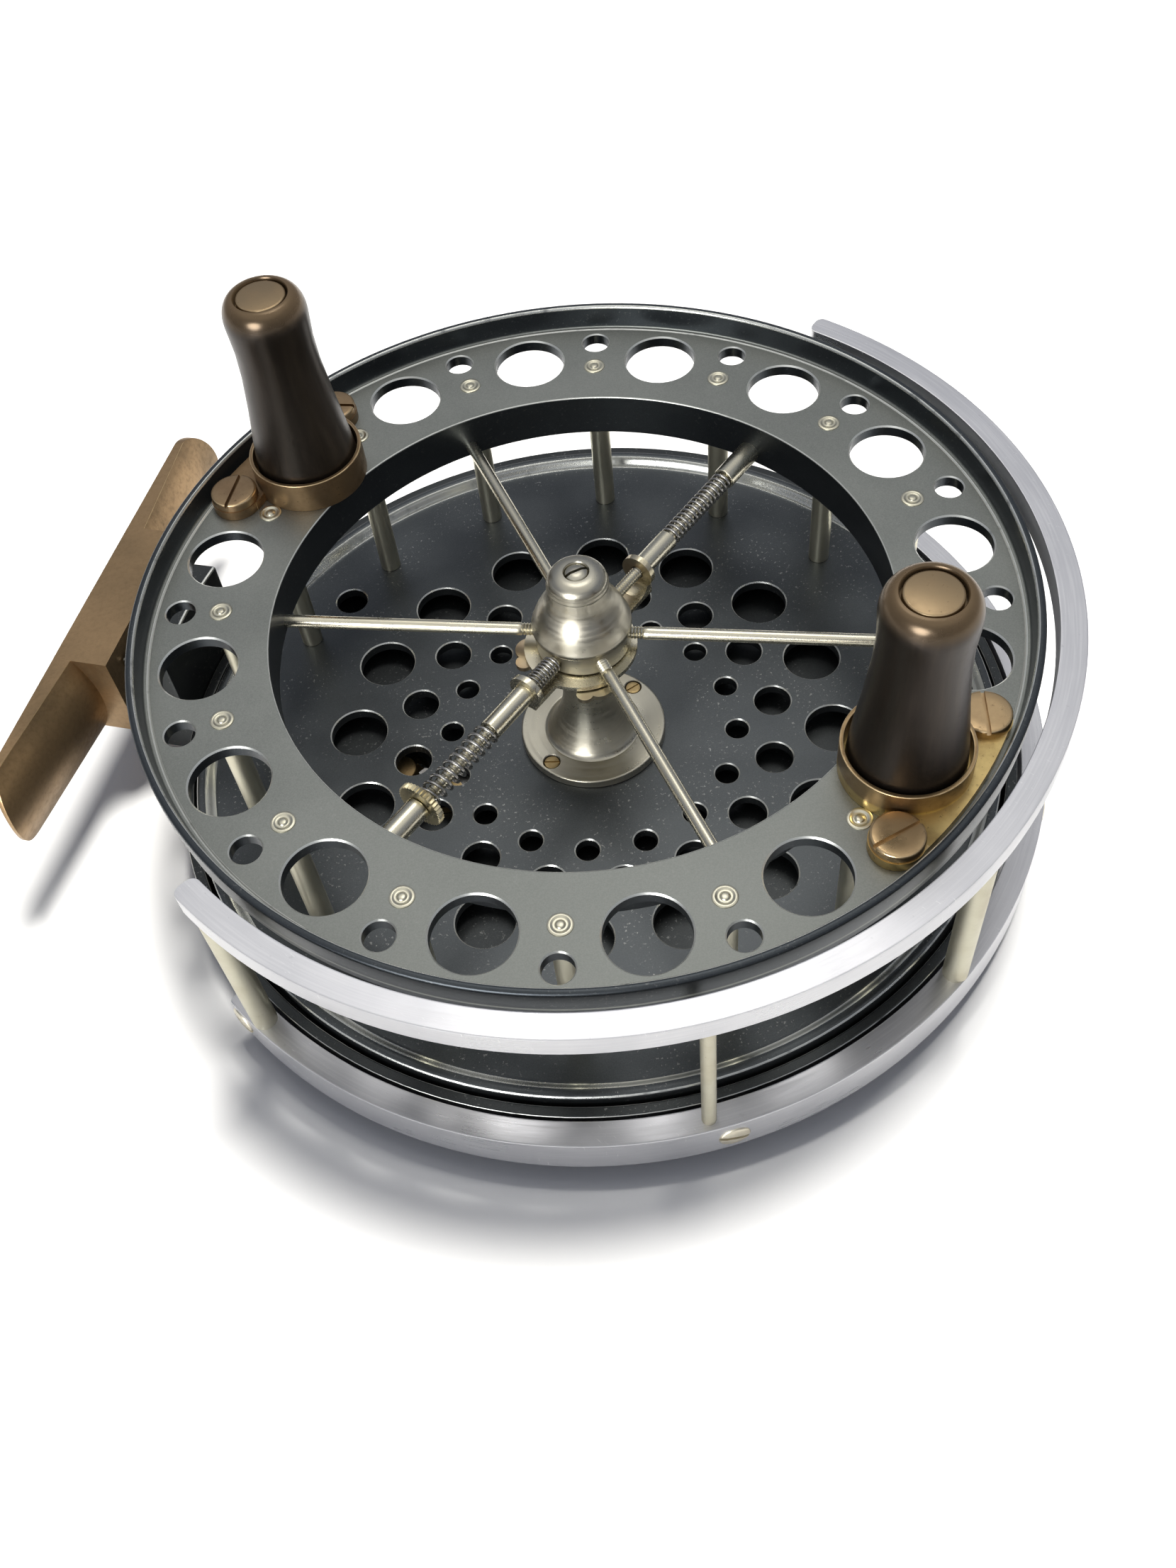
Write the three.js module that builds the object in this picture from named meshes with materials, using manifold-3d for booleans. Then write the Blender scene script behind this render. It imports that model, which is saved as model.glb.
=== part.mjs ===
// Six-spoke centrepin fishing reel, lying on its back with the drum axis upright.
// Millimetres, +Z up. The origin is the centre of the flat end of the back boss, on the drum axis.
import * as THREE from "three";
import { mergeVertices } from "three/addons/utils/BufferGeometryUtils.js";
import Module from "manifold-3d";

const wasm = await Module();
wasm.setup();

// ---- driving dimensions ----
const DRUM_RADIUS = 50.8; // outer radius of the front flange's lip
const REAR_Z = 8.4; // top face of the drum's rear flange
const DRUM_DEPTH = 23.1; // from the rear flange's face up to the front flange's face
const CAGE_GAP = 1.4; // free gap between the drum's lip and the guard ring
const RING_WIDTH = 2.9; // radial width of the guard ring and the rear half ring
const FIT = 0.05; // clearance between pieces that are fastened together
const RUN = 0.05; // radial clearance of a running fit
const SEAT = 0.3; // gap left where a piece rests on a neighbour in a turned group

// front flange
const LIP_WALL = 1.2;
const LIP_HEIGHT = 3;
const FLANGE_THICKNESS = 1.6;
const COLLAR_RADIUS = 35.5; // open middle of the front flange
const COLLAR_WALL = 1.7;
const COLLAR_DEPTH = 5.75;
const STATIONS = 16; // the hole pattern repeats every 22.5 degrees
const HANDLE_ANGLE = 138.13; // direction of the first handle at rest, in degrees
// insets here and below are from the lip's outside in to the centre of the hole or piece
const LARGE_HOLE = { inset: 7.4, radius: 4.45 };
const SMALL_HOLE = { inset: 4.45, radius: 1.72 };
const DRUM_PILLAR = { inset: 9.2, radius: 1.35 };

// rear flange
const REAR_THICKNESS = 1.5;
const REAR_RIM = { width: 2, height: 1.2 };
const REAR_HOLES = [
  { ring: 29.95, radius: 3.57, offset: 0.5, sides: 12 },
  { ring: 22.9, radius: 2.3, offset: 0, sides: 8 },
  { ring: 17.96, radius: 1.46, offset: 0.5, sides: 8 },
];
const ACCESS_HOLE = { inset: 9.9, radius: 2.1 }; // under each handle, for its pin

// hub, boss and spindle
const SPINDLE_RADIUS = 1.8;
const SPINDLE_FLANGE = { radius: 6, height: 1.5 };
const GROOVE = { radius: 1.3, height: 1.1 };
const BUSH_WALL = 0.65;
const NECK_RADIUS = 3.1;
const BOSS_FLANGE = { radius: 9, thickness: 1.3 };
const TRUMPET_RADIUS = 5.5;
const HUB_RADIUS = 5.5;
const HUB_SKIRT = 5.85; // the hub's lower end below the front flange's face
const CONE_RIM = { radius: 5.7, drop: 2.6 };
const CAP = { radius: 3.3, rise: 3.4, height: 2.1 };
const CAP_SCREW_RADIUS = 1.3;

// spokes and what is threaded on two of them
const SPOKE_DROP = 4.35; // spoke centre line below the front flange's face
const SPOKE_RADIUS = 0.75;
const ROD_HEAD = { radius: 1.4, length: 5.6 };
const NUT = { radius: 2.85, thickness: 0.8 };
const TENSION_SPRING_RADIUS = 1.45;
const RELEASE_SPRING_RADIUS = 1.2;
const RETURN_SPRING_RADIUS = 1.15;
const SPRING_WALL = 0.4;
const SLEEVE_RADIUS = 1.27;
const SLEEVE_BORE = 0.85;
const SLEEVE_END = 17.4; // outer end of both sleeves, from the axis
const LUG = { radius: 2.1, thickness: 0.75 };
const TENSION_LUG_AT = 10.25; // inner face of the drag plate's lug
const RELEASE_LUG_AT = 10.9; // inner face of the latch plate's lug
const PLATE_THICKNESS = 0.6;
const PLATE_GAP = 0.2;
const DRAG_PLATE_RADIUS = 7.2;
const LATCH_PLATE_RADIUS = 6;
const RELEASE_TRAVEL = 1.2;
const DRAG_TRAVEL = 0.3;

// handles
const HANDLE_INSET = 9.5;
const HANDLE_PLATE = 1.2;
const CUP = { radius: 6.85, wall: 0.45, height: 4 };
const EAR = { inset: 4.5, radius: 2.9 };
const HANDLE_TOP = 26; // top of a handle above the front flange's face
const HANDLE_BASE = 6.15;
const HANDLE_WAIST = 4.55;
const HANDLE_SHOULDER = 4.75;
const HANDLE_PIN = { radius: 1.6, head: 2.8, headThickness: 0.9 };

// back plate and cage
const PLATE_Z = 3; // underside of the back plate
const PLATE_FLOOR = 1.8;
const RIM_GAP = 0.5; // between the rear flange and the back plate's rim
const RIM_WALL = 1.3;
const RIM_TOP = 8.7;
const REAR_RING = { bottom: 3.3, top: 8.9 };
const GUARD_RISE = 2.5; // top of the guard ring above the front flange's face
const GUARD_HEIGHT = 3;
const CAGE_MIDDLE = -46.2; // direction of the middle of both half rings, in degrees
const GUARD_HALF_ANGLE = 96.3;
const REAR_HALF_ANGLE = 98;
const GUARD_PILLARS = [-139, -48, 46.6];
const GUARD_PILLAR_RADIUS = 1.4;
const THIN_PILLAR = { angle: -82.8, radius: 0.8 };
const BACK_BOSS_RADIUS = 11;

// foot
const FOOT_ANGLE = 161.1;
const FOOT_LENGTH = 64.4;
const FOOT_TOP = 22.8;
const FOOT_WIDTH = 12.8;
const FOOT_REACH = 12.3; // from the back plate's rim out to the plane through the edges of the rod seat
const FOOT_EDGE = 2.2; // thickness of the foot's edge beside the block
const FOOT_TIP = 0.6; // thickness of the foot at its tips
const ROD_SEAT_RADIUS = 11.5;
const FOOT_BELLY_RADIUS = 12.1;
const FOOT_BLOCK = { length: 22.8, depth: 7 };
const FOOT_STAND = { width: 17, bottom: 3.3, top: 20.6 };

// check (ratchet) under the drum
const RATCHET = { teeth: 24, root: 12.2, tip: 13.4, thickness: 1.1 };
const CHECK_ANGLE = 180; // direction of the button from the axis, in degrees
const CHECK_BUTTON = { ring: 25, radius: 3, height: 2.4, travel: 1.4 };
const PAWL = { x: 18.5, y: 5, radius: 1.8, pin: 0.8, thickness: 1.3, nose: 0.4, reach: 0.45, swing: 14.3 };

// ---- sizes worked out from the driving dimensions ----
const FACE_Z = REAR_Z + DRUM_DEPTH; // top face of the drum's front flange
const REAR_RADIUS = DRUM_RADIUS - 0.8;
const FLANGE_UNDER = FACE_Z - FLANGE_THICKNESS;
const REAR_UNDER = REAR_Z - REAR_THICKNESS;
const RIM_INNER = REAR_RADIUS + RIM_GAP;
const RIM_OUTER = RIM_INNER + RIM_WALL;
const FOOT_SEAT = RIM_OUTER + FOOT_REACH;
const GUARD = { bottom: FACE_Z + GUARD_RISE - GUARD_HEIGHT, top: FACE_Z + GUARD_RISE };
const HANDLE_RING = DRUM_RADIUS - HANDLE_INSET;
const CAGE_INNER = DRUM_RADIUS + CAGE_GAP;
const CAGE_OUTER = CAGE_INNER + RING_WIDTH;
const FLOOR_Z = PLATE_Z + PLATE_FLOOR;
const SPOKE_Z = FACE_Z - SPOKE_DROP;
const HUB_BOTTOM = FACE_Z - HUB_SKIRT;
const CAP_Z = FACE_Z + CAP.rise;
const BUSH_RADIUS = SPINDLE_RADIUS + RUN + BUSH_WALL;
const DRAG_Z = HUB_BOTTOM - PLATE_GAP - PLATE_THICKNESS;
const LATCH_Z = DRAG_Z - PLATE_GAP - PLATE_THICKNESS;
const BOSS_TOP = LATCH_Z - PLATE_GAP;
const SPOKE_INNER = HUB_RADIUS + SEAT / 2;
const SPOKE_OUTER = COLLAR_RADIUS - SEAT;
const HEAD_INNER = SPOKE_OUTER - ROD_HEAD.length;
const CUP_BASE = FACE_Z + FIT;
const PLATE_TOP = CUP_BASE + HANDLE_PLATE;
const TIP_ANGLE = Math.PI / 2;
const STATION_ANGLE = 360 / STATIONS;

// ---- finishes ----
function finish(color, roughness, metalness) {
  return new THREE.MeshStandardMaterial({ color, roughness, metalness });
}

const anodised = finish(0x3b3f40, 0.5, 0.6);
const darkAnodised = finish(0x24282a, 0.5, 0.5);
const nickelSilver = finish(0xb5ad8c, 0.3, 1);
const aluminium = finish(0xb9bac0, 0.3, 1);
const steel = finish(0x8d8b88, 0.25, 1);
const bronze = finish(0x6f4d33, 0.4, 1);
const brass = finish(0x9a7c45, 0.4, 1);
const horn = finish(0x2e211a, 0.3, 0);

// ---- geometry helpers ----
const rad = (degrees) => THREE.MathUtils.degToRad(degrees);

function solidOf(geometry) {
  const bare = geometry.clone();
  bare.deleteAttribute("normal");
  bare.deleteAttribute("uv");
  const merged = mergeVertices(bare, 1e-4);
  const mesh = new wasm.Mesh({
    numProp: 3,
    vertProperties: Float32Array.from(merged.attributes.position.array),
    triVerts: Uint32Array.from(merged.index.array),
  });
  return new wasm.Manifold(mesh);
}

function geometryOf(solid) {
  const mesh = solid.getMesh();
  const geometry = new THREE.BufferGeometry();
  geometry.setAttribute("position", new THREE.BufferAttribute(mesh.vertProperties, 3));
  geometry.setIndex(new THREE.BufferAttribute(mesh.triVerts, 1));
  return geometry;
}

// A turned shape about Z from [radius, z] points that run up the outside and down the inside.
function turned(points, sides = 32) {
  const profile = points.map(([r, z]) => new THREE.Vector2(r, z));
  const closes = points[0][0] > 0 || points.at(-1)[0] > 0;
  if (closes) {
    profile.push(profile[0].clone());
  }
  const geometry = new THREE.LatheGeometry(profile, sides);
  geometry.rotateX(Math.PI / 2);
  return solidOf(geometry);
}

function rod(radius, bottom, top, sides = 16) {
  return turned([[0, bottom], [radius, bottom], [radius, top], [0, top]], sides);
}

function tube(outer, inner, bottom, top, sides = 16) {
  return turned([[inner, bottom], [outer, bottom], [outer, top], [inner, top]], sides);
}

// A flat plate from a THREE.Shape, standing from bottom to top.
function plate(shape, bottom, top, curveSegments = 6) {
  const geometry = new THREE.ExtrudeGeometry(shape, { depth: top - bottom, bevelEnabled: false, curveSegments });
  geometry.translate(0, 0, bottom);
  return solidOf(geometry);
}

function block(x, y, z, width, depth, height) {
  const geometry = new THREE.BoxGeometry(width, depth, height);
  geometry.translate(x, y, z);
  return solidOf(geometry);
}

function at(solid, x, y, z = 0) {
  return solid.translate([x, y, z]);
}

// Moves a solid out along X by the ring's radius and round to an angle in degrees.
function around(solid, ring, angle) {
  return solid.translate([ring, 0, 0]).rotate([0, 0, angle]);
}

// Lays a solid that was turned about Z along +X, with its Z running outwards, at height z.
function laid(solid, z = SPOKE_Z) {
  return solid.rotate([0, 90, 0]).translate([0, 0, z]);
}

function sector(inner, outer, from, to, segments) {
  const shape = new THREE.Shape();
  const step = (to - from) / segments;
  const point = (r, a) => [r * Math.cos(rad(a)), r * Math.sin(rad(a))];
  shape.moveTo(...point(inner, from));
  for (let i = 0; i <= segments; i += 1) {
    shape.lineTo(...point(outer, from + i * step));
  }
  for (let i = segments; i > 0; i -= 1) {
    shape.lineTo(...point(inner, from + i * step));
  }
  return shape;
}

// A half ring whose four corners are cut back.
function halfRing(inner, outer, bottom, top, halfAngle, corner, segments = 28) {
  const trim = THREE.MathUtils.radToDeg((2 * corner) / (inner + outer));
  const reach = halfAngle - trim;
  const shape = new THREE.Shape();
  const point = (r, a) => [r * Math.cos(rad(a)), r * Math.sin(rad(a))];
  shape.moveTo(...point(inner + corner, -halfAngle));
  shape.lineTo(...point(outer - corner, -halfAngle));
  for (let i = 0; i <= segments; i += 1) {
    shape.lineTo(...point(outer, -reach + (2 * reach * i) / segments));
  }
  shape.lineTo(...point(outer - corner, halfAngle));
  shape.lineTo(...point(inner + corner, halfAngle));
  for (let i = segments; i >= 0; i -= 1) {
    shape.lineTo(...point(inner, -reach + (2 * reach * i) / segments));
  }
  return plate(shape, bottom, top);
}

// ---- scene graph ----
const reel = new THREE.Group();
const frame = new THREE.Group();
const drum = new THREE.Group();
drum.rotation.z = rad(HANDLE_ANGLE);
reel.add(frame, drum);

function piece(group, name, solid, material) {
  const mesh = new THREE.Mesh(geometryOf(solid), material);
  mesh.name = name;
  group.add(mesh);
  return mesh;
}

function turnedGroup(parent, angle) {
  const group = new THREE.Group();
  group.rotation.z = rad(angle);
  parent.add(group);
  return group;
}

// ---- back plate, spindle and boss ----
function backPlate() {
  const shell = turned([
    [0, PLATE_Z], [RIM_OUTER - 1, PLATE_Z], [RIM_OUTER, PLATE_Z + 1], [RIM_OUTER, RIM_TOP],
    [RIM_INNER, RIM_TOP], [RIM_INNER, FLOOR_Z], [0, FLOOR_Z],
  ], 48);
  const stem = CHECK_BUTTON.radius - 1 + SEAT;
  const slot = new THREE.Shape();
  const reach = CHECK_BUTTON.travel;
  slot.absarc(-reach, 0, stem, TIP_ANGLE, -TIP_ANGLE, false);
  slot.absarc(0, 0, stem, -TIP_ANGLE, TIP_ANGLE, false);
  const slotCut = around(plate(slot, PLATE_Z - 1, FLOOR_Z + 1), CHECK_BUTTON.ring, CHECK_ANGLE);
  const spindleHole = rod(3 + FIT, PLATE_Z - 1, FLOOR_Z + 1, 24);
  return shell.subtract(spindleHole).subtract(slotCut);
}
piece(frame, "back_plate", backPlate(), darkAnodised);

function spindle() {
  const grooveTop = LATCH_Z + PLATE_THICKNESS + (GROOVE.height - PLATE_THICKNESS) / 2;
  const grooveBottom = grooveTop - GROOVE.height;
  const tip = CAP_Z - 1.2;
  return turned([
    [0, 1.2], [2.9, 1.2], [2.9, FLOOR_Z + FIT], [SPINDLE_FLANGE.radius, FLOOR_Z + FIT],
    [SPINDLE_FLANGE.radius, FLOOR_Z + SPINDLE_FLANGE.height],
    [SPINDLE_RADIUS, FLOOR_Z + SPINDLE_FLANGE.height],
    [SPINDLE_RADIUS, grooveBottom], [GROOVE.radius, grooveBottom], [GROOVE.radius, grooveTop],
    [SPINDLE_RADIUS, grooveTop], [SPINDLE_RADIUS, tip - 1], [0.3, tip], [0, tip],
  ], 20);
}
piece(frame, "spindle", spindle(), steel);

const backBoss = turned([
  [0, 0], [BACK_BOSS_RADIUS - 0.8, 0], [BACK_BOSS_RADIUS, 0.8], [BACK_BOSS_RADIUS, PLATE_Z - FIT],
  [3 + FIT, PLATE_Z - FIT], [3 + FIT, 1], [0, 1],
], 28);
piece(frame, "back_boss", backBoss, nickelSilver);

// ---- cage: rear half ring, guard ring and their pillars ----
const cage = turnedGroup(frame, CAGE_MIDDLE);
const rearRing = halfRing(CAGE_INNER, CAGE_OUTER, REAR_RING.bottom, REAR_RING.top, REAR_HALF_ANGLE, 0.6);
piece(cage, "rear_half_ring", rearRing, aluminium);
const guardRing = halfRing(CAGE_INNER, CAGE_OUTER, GUARD.bottom, GUARD.top, GUARD_HALF_ANGLE, 0.9);
piece(cage, "front_guard_ring", guardRing, aluminium);

function guardPillar(radius, angle) {
  const column = rod(radius, REAR_RING.top + FIT, GUARD.bottom - FIT, 14);
  return around(column, (CAGE_INNER + CAGE_OUTER) / 2, angle);
}
GUARD_PILLARS.forEach((angle, i) => {
  piece(frame, `guard_pillar_${i + 1}`, guardPillar(GUARD_PILLAR_RADIUS, angle), nickelSilver);
});
piece(frame, "guard_pillar_thin", guardPillar(THIN_PILLAR.radius, THIN_PILLAR.angle), nickelSilver);

// ---- foot: a saddle with a thick middle block, on a stand beside the back plate ----
// In this group X points out to the rod and Y runs along the foot.
const footGroup = turnedGroup(frame, FOOT_ANGLE);
const FOOT_MIDDLE_Z = FOOT_TOP - FOOT_WIDTH / 2;
const FOOT_BLOCK_FACE = FOOT_SEAT - FOOT_BLOCK.depth;

// A cylinder along Y whose axis stands off the reel by more at its far end. One of its flats faces the reel.
function slantedCylinder(radius, nearX, nearY, farX, farY) {
  const sides = 48;
  const length = Math.hypot(farX - nearX, farY - nearY);
  const slant = THREE.MathUtils.radToDeg(Math.atan2(farX - nearX, Math.abs(farY - nearY)));
  const side = Math.sign(farY - nearY);
  const upright = rod(radius, -length, 2 * length, sides).rotate([0, 0, 180 / sides]);
  const lying = upright.rotate([-90 * side, 0, 0]);
  return lying.rotate([0, 0, -slant * side]).translate([nearX, nearY, FOOT_MIDDLE_Z]);
}

function footArm(side) {
  const root = side * FOOT_BLOCK.length / 2;
  const end = side * FOOT_LENGTH / 2;
  const tipRadius = FOOT_WIDTH * 0.62;
  const plan = new THREE.Shape();
  const half = FOOT_WIDTH / 2;
  const shoulder = FOOT_LENGTH / 2 - tipRadius * 0.62;
  plan.moveTo(half, 0);
  plan.lineTo(half, shoulder);
  plan.absellipse(0, shoulder, half, FOOT_LENGTH / 2 - shoulder, 0, Math.PI, false);
  plan.lineTo(-half, 0);
  const slab = plate(plan, 0, FOOT_SEAT, 10).rotate([0, 90, 0]).translate([0, 0, FOOT_MIDDLE_Z]);
  const outline = side > 0 ? slab : slab.mirror([0, 1, 0]);
  const sag = FOOT_BELLY_RADIUS - Math.sqrt(FOOT_BELLY_RADIUS ** 2 - half ** 2);
  const nearX = FOOT_SEAT - FOOT_EDGE - sag + FOOT_BELLY_RADIUS;
  const farX = nearX + FOOT_EDGE - FOOT_TIP;
  return outline.intersect(slantedCylinder(FOOT_BELLY_RADIUS, nearX, root, farX, end));
}

function foot() {
  const middleX = (FOOT_BLOCK_FACE + FOOT_SEAT) / 2;
  const middle = block(middleX, 0, FOOT_MIDDLE_Z, FOOT_BLOCK.depth, FOOT_BLOCK.length, FOOT_WIDTH);
  const seatDepth = Math.sqrt(ROD_SEAT_RADIUS ** 2 - (FOOT_WIDTH / 2) ** 2);
  const seatX = FOOT_SEAT + seatDepth;
  const rodSeat = slantedCylinder(ROD_SEAT_RADIUS, seatX, -FOOT_LENGTH, seatX, 0);
  return middle.add(footArm(1)).add(footArm(-1)).subtract(rodSeat);
}
piece(footGroup, "foot", foot(), bronze);

function footStand() {
  const outer = FOOT_BLOCK_FACE - SEAT;
  const inner = RIM_OUTER + SEAT;
  const half = FOOT_STAND.width / 2;
  const height = FOOT_STAND.top - FOOT_STAND.bottom;
  const body = block(outer - 5, 0, FOOT_STAND.bottom + height / 2, 10, 2 * half, height);
  const drumRoom = rod(inner, 0, FACE_Z, 96);
  return body.subtract(drumRoom);
}
piece(footGroup, "foot_stand", footStand(), darkAnodised);

// ---- check: button, pawl and spring under the drum ----
const checkGroup = turnedGroup(frame, CHECK_ANGLE);

function checkButton() {
  const stem = CHECK_BUTTON.radius - 1;
  return turned([
    [0, PLATE_Z - CHECK_BUTTON.height], [CHECK_BUTTON.radius - 0.5, PLATE_Z - CHECK_BUTTON.height],
    [CHECK_BUTTON.radius, PLATE_Z - CHECK_BUTTON.height + 0.5], [CHECK_BUTTON.radius, PLATE_Z - 0.1],
    [stem, PLATE_Z - 0.1], [stem, FLOOR_Z + 0.6], [0, FLOOR_Z + 0.6],
  ], 20).translate([CHECK_BUTTON.ring, 0, 0]);
}
piece(checkGroup, "check_button", checkButton(), brass);

const PAWL_Z = FLOOR_Z + 0.1;
const PAWL_TOP = PAWL_Z + PAWL.thickness;
const noseX = RATCHET.tip + PAWL.reach;

// Clear of the teeth at rest. The button pushes the tail in, which swings the nose into a gap.
function pawl() {
  const tailX = CHECK_BUTTON.ring - CHECK_BUTTON.radius + 0.6;
  const outline = new THREE.Shape();
  outline.moveTo(noseX, 0);
  outline.lineTo(noseX + 1.2, -PAWL.nose);
  outline.lineTo(PAWL.x, PAWL.y - PAWL.radius - 1);
  outline.lineTo(tailX - 0.8, 1);
  outline.lineTo(tailX, 1.6);
  outline.lineTo(PAWL.x + PAWL.radius * 0.9, PAWL.y + PAWL.radius * 0.5);
  outline.lineTo(PAWL.x - PAWL.radius * 0.9, PAWL.y + PAWL.radius * 0.5);
  outline.closePath();
  const eye = at(rod(PAWL.radius, PAWL_Z, PAWL_TOP, 18), PAWL.x, PAWL.y);
  const hole = at(rod(PAWL.pin + RUN, PAWL_Z - 1, PAWL_TOP + 1, 16), PAWL.x, PAWL.y);
  return plate(outline, PAWL_Z, PAWL_TOP).add(eye).subtract(hole);
}
piece(checkGroup, "check_pawl", pawl(), steel);

const pawlPin = turned([
  [0, FLOOR_Z + FIT], [PAWL.pin, FLOOR_Z + FIT], [PAWL.pin, PAWL_TOP + 0.1],
  [PAWL.pin + 0.6, PAWL_TOP + 0.1], [PAWL.pin + 0.6, PAWL_TOP + 0.5], [0, PAWL_TOP + 0.5],
], 16);
piece(checkGroup, "pawl_pin", at(pawlPin, PAWL.x, PAWL.y), brass);

const SPRING_LEAF = { length: 9, thickness: 0.3, height: 0.8 };
const leafY = PAWL.y + PAWL.radius + SEAT + SPRING_LEAF.thickness / 2;
const leafZ = PAWL_Z + SPRING_LEAF.height / 2;
const leaf = block(PAWL.x + 1, leafY, leafZ, SPRING_LEAF.length, SPRING_LEAF.thickness, SPRING_LEAF.height);
piece(checkGroup, "check_spring", leaf, brass);

// Puts a solid on the ring that is set in from the lip's outside by the inset.
const inset = (solid, hole, angle) => around(solid, DRUM_RADIUS - hole.inset, angle);

// ---- drum: front flange ----
function frontFlange() {
  const lipInner = DRUM_RADIUS - LIP_WALL;
  let ring = turned([
    [COLLAR_RADIUS, FACE_Z], [COLLAR_RADIUS, FACE_Z - COLLAR_DEPTH],
    [COLLAR_RADIUS + COLLAR_WALL, FACE_Z - COLLAR_DEPTH], [COLLAR_RADIUS + COLLAR_WALL, FLANGE_UNDER],
    [DRUM_RADIUS - 0.5, FLANGE_UNDER], [DRUM_RADIUS, FLANGE_UNDER + 0.5],
    [DRUM_RADIUS, FACE_Z + LIP_HEIGHT * 0.55], [lipInner + 0.35, FACE_Z + LIP_HEIGHT],
    [lipInner, FACE_Z],
  ], 48);
  for (let k = 0; k < STATIONS; k += 1) {
    const angle = k * STATION_ANGLE;
    const half = angle + STATION_ANGLE / 2;
    const isHandle = k % (STATIONS / 2) === 0;
    if (!isHandle) {
      ring = ring.subtract(inset(rod(LARGE_HOLE.radius, 0, FACE_Z + 1, 16), LARGE_HOLE, angle));
    }
    const holdsEar = [0, STATIONS / 2 - 1, STATIONS / 2, STATIONS - 1].includes(k);
    if (!holdsEar) {
      ring = ring.subtract(inset(rod(SMALL_HOLE.radius, 0, FACE_Z + 1, 8), SMALL_HOLE, half));
    }
  }
  return ring;
}
piece(drum, "drum_front_flange", frontFlange(), anodised);

// ---- drum: rear flange ----
function rearFlange() {
  let disc = turned([
    [SPINDLE_FLANGE.radius + 1, REAR_UNDER], [REAR_RADIUS - 0.4, REAR_UNDER], [REAR_RADIUS, REAR_UNDER + 0.4],
    [REAR_RADIUS, REAR_Z + REAR_RIM.height - 0.5], [REAR_RADIUS - 0.6, REAR_Z + REAR_RIM.height],
    [REAR_RADIUS - REAR_RIM.width, REAR_Z], [SPINDLE_FLANGE.radius + 1, REAR_Z],
  ], 48);
  for (const hole of REAR_HOLES) {
    for (let k = 0; k < STATIONS; k += 1) {
      const cut = rod(hole.radius, REAR_UNDER - 1, REAR_Z + 1, hole.sides);
      disc = disc.subtract(around(cut, hole.ring, (k + hole.offset) * STATION_ANGLE));
    }
  }
  for (const angle of [0, 180]) {
    disc = disc.subtract(inset(rod(ACCESS_HOLE.radius, REAR_UNDER - 1, REAR_Z + 1, 14), ACCESS_HOLE, angle));
  }
  return disc;
}
piece(drum, "drum_rear_flange", rearFlange(), anodised);

// ---- drum: sixteen pillars that carry the line ----
for (let k = 0; k < STATIONS; k += 1) {
  const column = rod(DRUM_PILLAR.radius, REAR_Z + FIT, FLANGE_UNDER - FIT, 10);
  const number = String(k + 1).padStart(2, "0");
  const placed = inset(column, DRUM_PILLAR, (k + 0.5) * STATION_ANGLE);
  piece(drum, `drum_pillar_${number}`, placed, nickelSilver);
}

// ---- drum: boss and its two bearing bushes ----
const boss = turned([
  [BUSH_RADIUS + FIT, REAR_Z + FIT], [BOSS_FLANGE.radius, REAR_Z + FIT],
  [BOSS_FLANGE.radius, REAR_Z + BOSS_FLANGE.thickness], [TRUMPET_RADIUS, REAR_Z + BOSS_FLANGE.thickness],
  [TRUMPET_RADIUS - 0.9, REAR_Z + BOSS_FLANGE.thickness + 2],
  [NECK_RADIUS + 0.5, REAR_Z + BOSS_FLANGE.thickness + 4.6],
  [NECK_RADIUS, REAR_Z + BOSS_FLANGE.thickness + 7.6], [NECK_RADIUS, BOSS_TOP], [BUSH_RADIUS + FIT, BOSS_TOP],
], 24);
piece(drum, "drum_boss", boss, nickelSilver);
const BUSH_LENGTH = 4;
const bushAt = (bottom) => tube(BUSH_RADIUS, SPINDLE_RADIUS + RUN, bottom, bottom + BUSH_LENGTH, 20);
piece(drum, "bearing_bush_lower", bushAt(REAR_Z + 0.6), brass);
piece(drum, "bearing_bush_upper", bushAt(BOSS_TOP - BUSH_LENGTH - 0.2), brass);

// ---- drum: hub, domed cap and centre screw ----
const hub = turned([
  [SPINDLE_RADIUS + 0.4, HUB_BOTTOM], [HUB_RADIUS, HUB_BOTTOM], [HUB_RADIUS, FACE_Z - CONE_RIM.drop - 0.4],
  [CONE_RIM.radius, FACE_Z - CONE_RIM.drop], [CONE_RIM.radius - 0.8, FACE_Z - 0.6],
  [CAP.radius + 0.3, FACE_Z + 1.6],
  [CAP.radius - 0.15, CAP_Z - 0.1], [SPINDLE_RADIUS + 0.4, CAP_Z - 0.1],
], 24);
piece(drum, "hub", hub, nickelSilver);
const cap = turned([
  [CAP_SCREW_RADIUS + FIT, CAP_Z], [CAP.radius, CAP_Z], [CAP.radius, CAP_Z + 0.5],
  [CAP.radius - 0.5, CAP_Z + 1.3], [CAP.radius - 1.2, CAP_Z + CAP.height - 0.15],
  [CAP_SCREW_RADIUS + 0.3, CAP_Z + CAP.height], [CAP_SCREW_RADIUS + FIT, CAP_Z + CAP.height],
], 20);
piece(drum, "hub_cap", cap, nickelSilver);
const screwTop = CAP_Z + CAP.height - 0.15;
const capScrew = rod(CAP_SCREW_RADIUS, CAP_Z - 1, screwTop, 16);
const capSlot = block(0, 0, screwTop, 4, 0.45, 0.9);
piece(drum, "cap_screw", capScrew.subtract(capSlot), nickelSilver);

// ---- drum: ratchet wheel under the rear flange ----
// Direction of the pawl's nose from the drum axis once it has swung in, in the check's group.
function meshedNoseAngle() {
  const swing = rad(PAWL.swing);
  const outX = noseX - PAWL.x;
  const x = PAWL.x + outX * Math.cos(swing) - PAWL.y * Math.sin(swing);
  const y = PAWL.y - outX * Math.sin(swing) - PAWL.y * Math.cos(swing);
  return THREE.MathUtils.radToDeg(Math.atan2(y, x));
}

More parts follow.
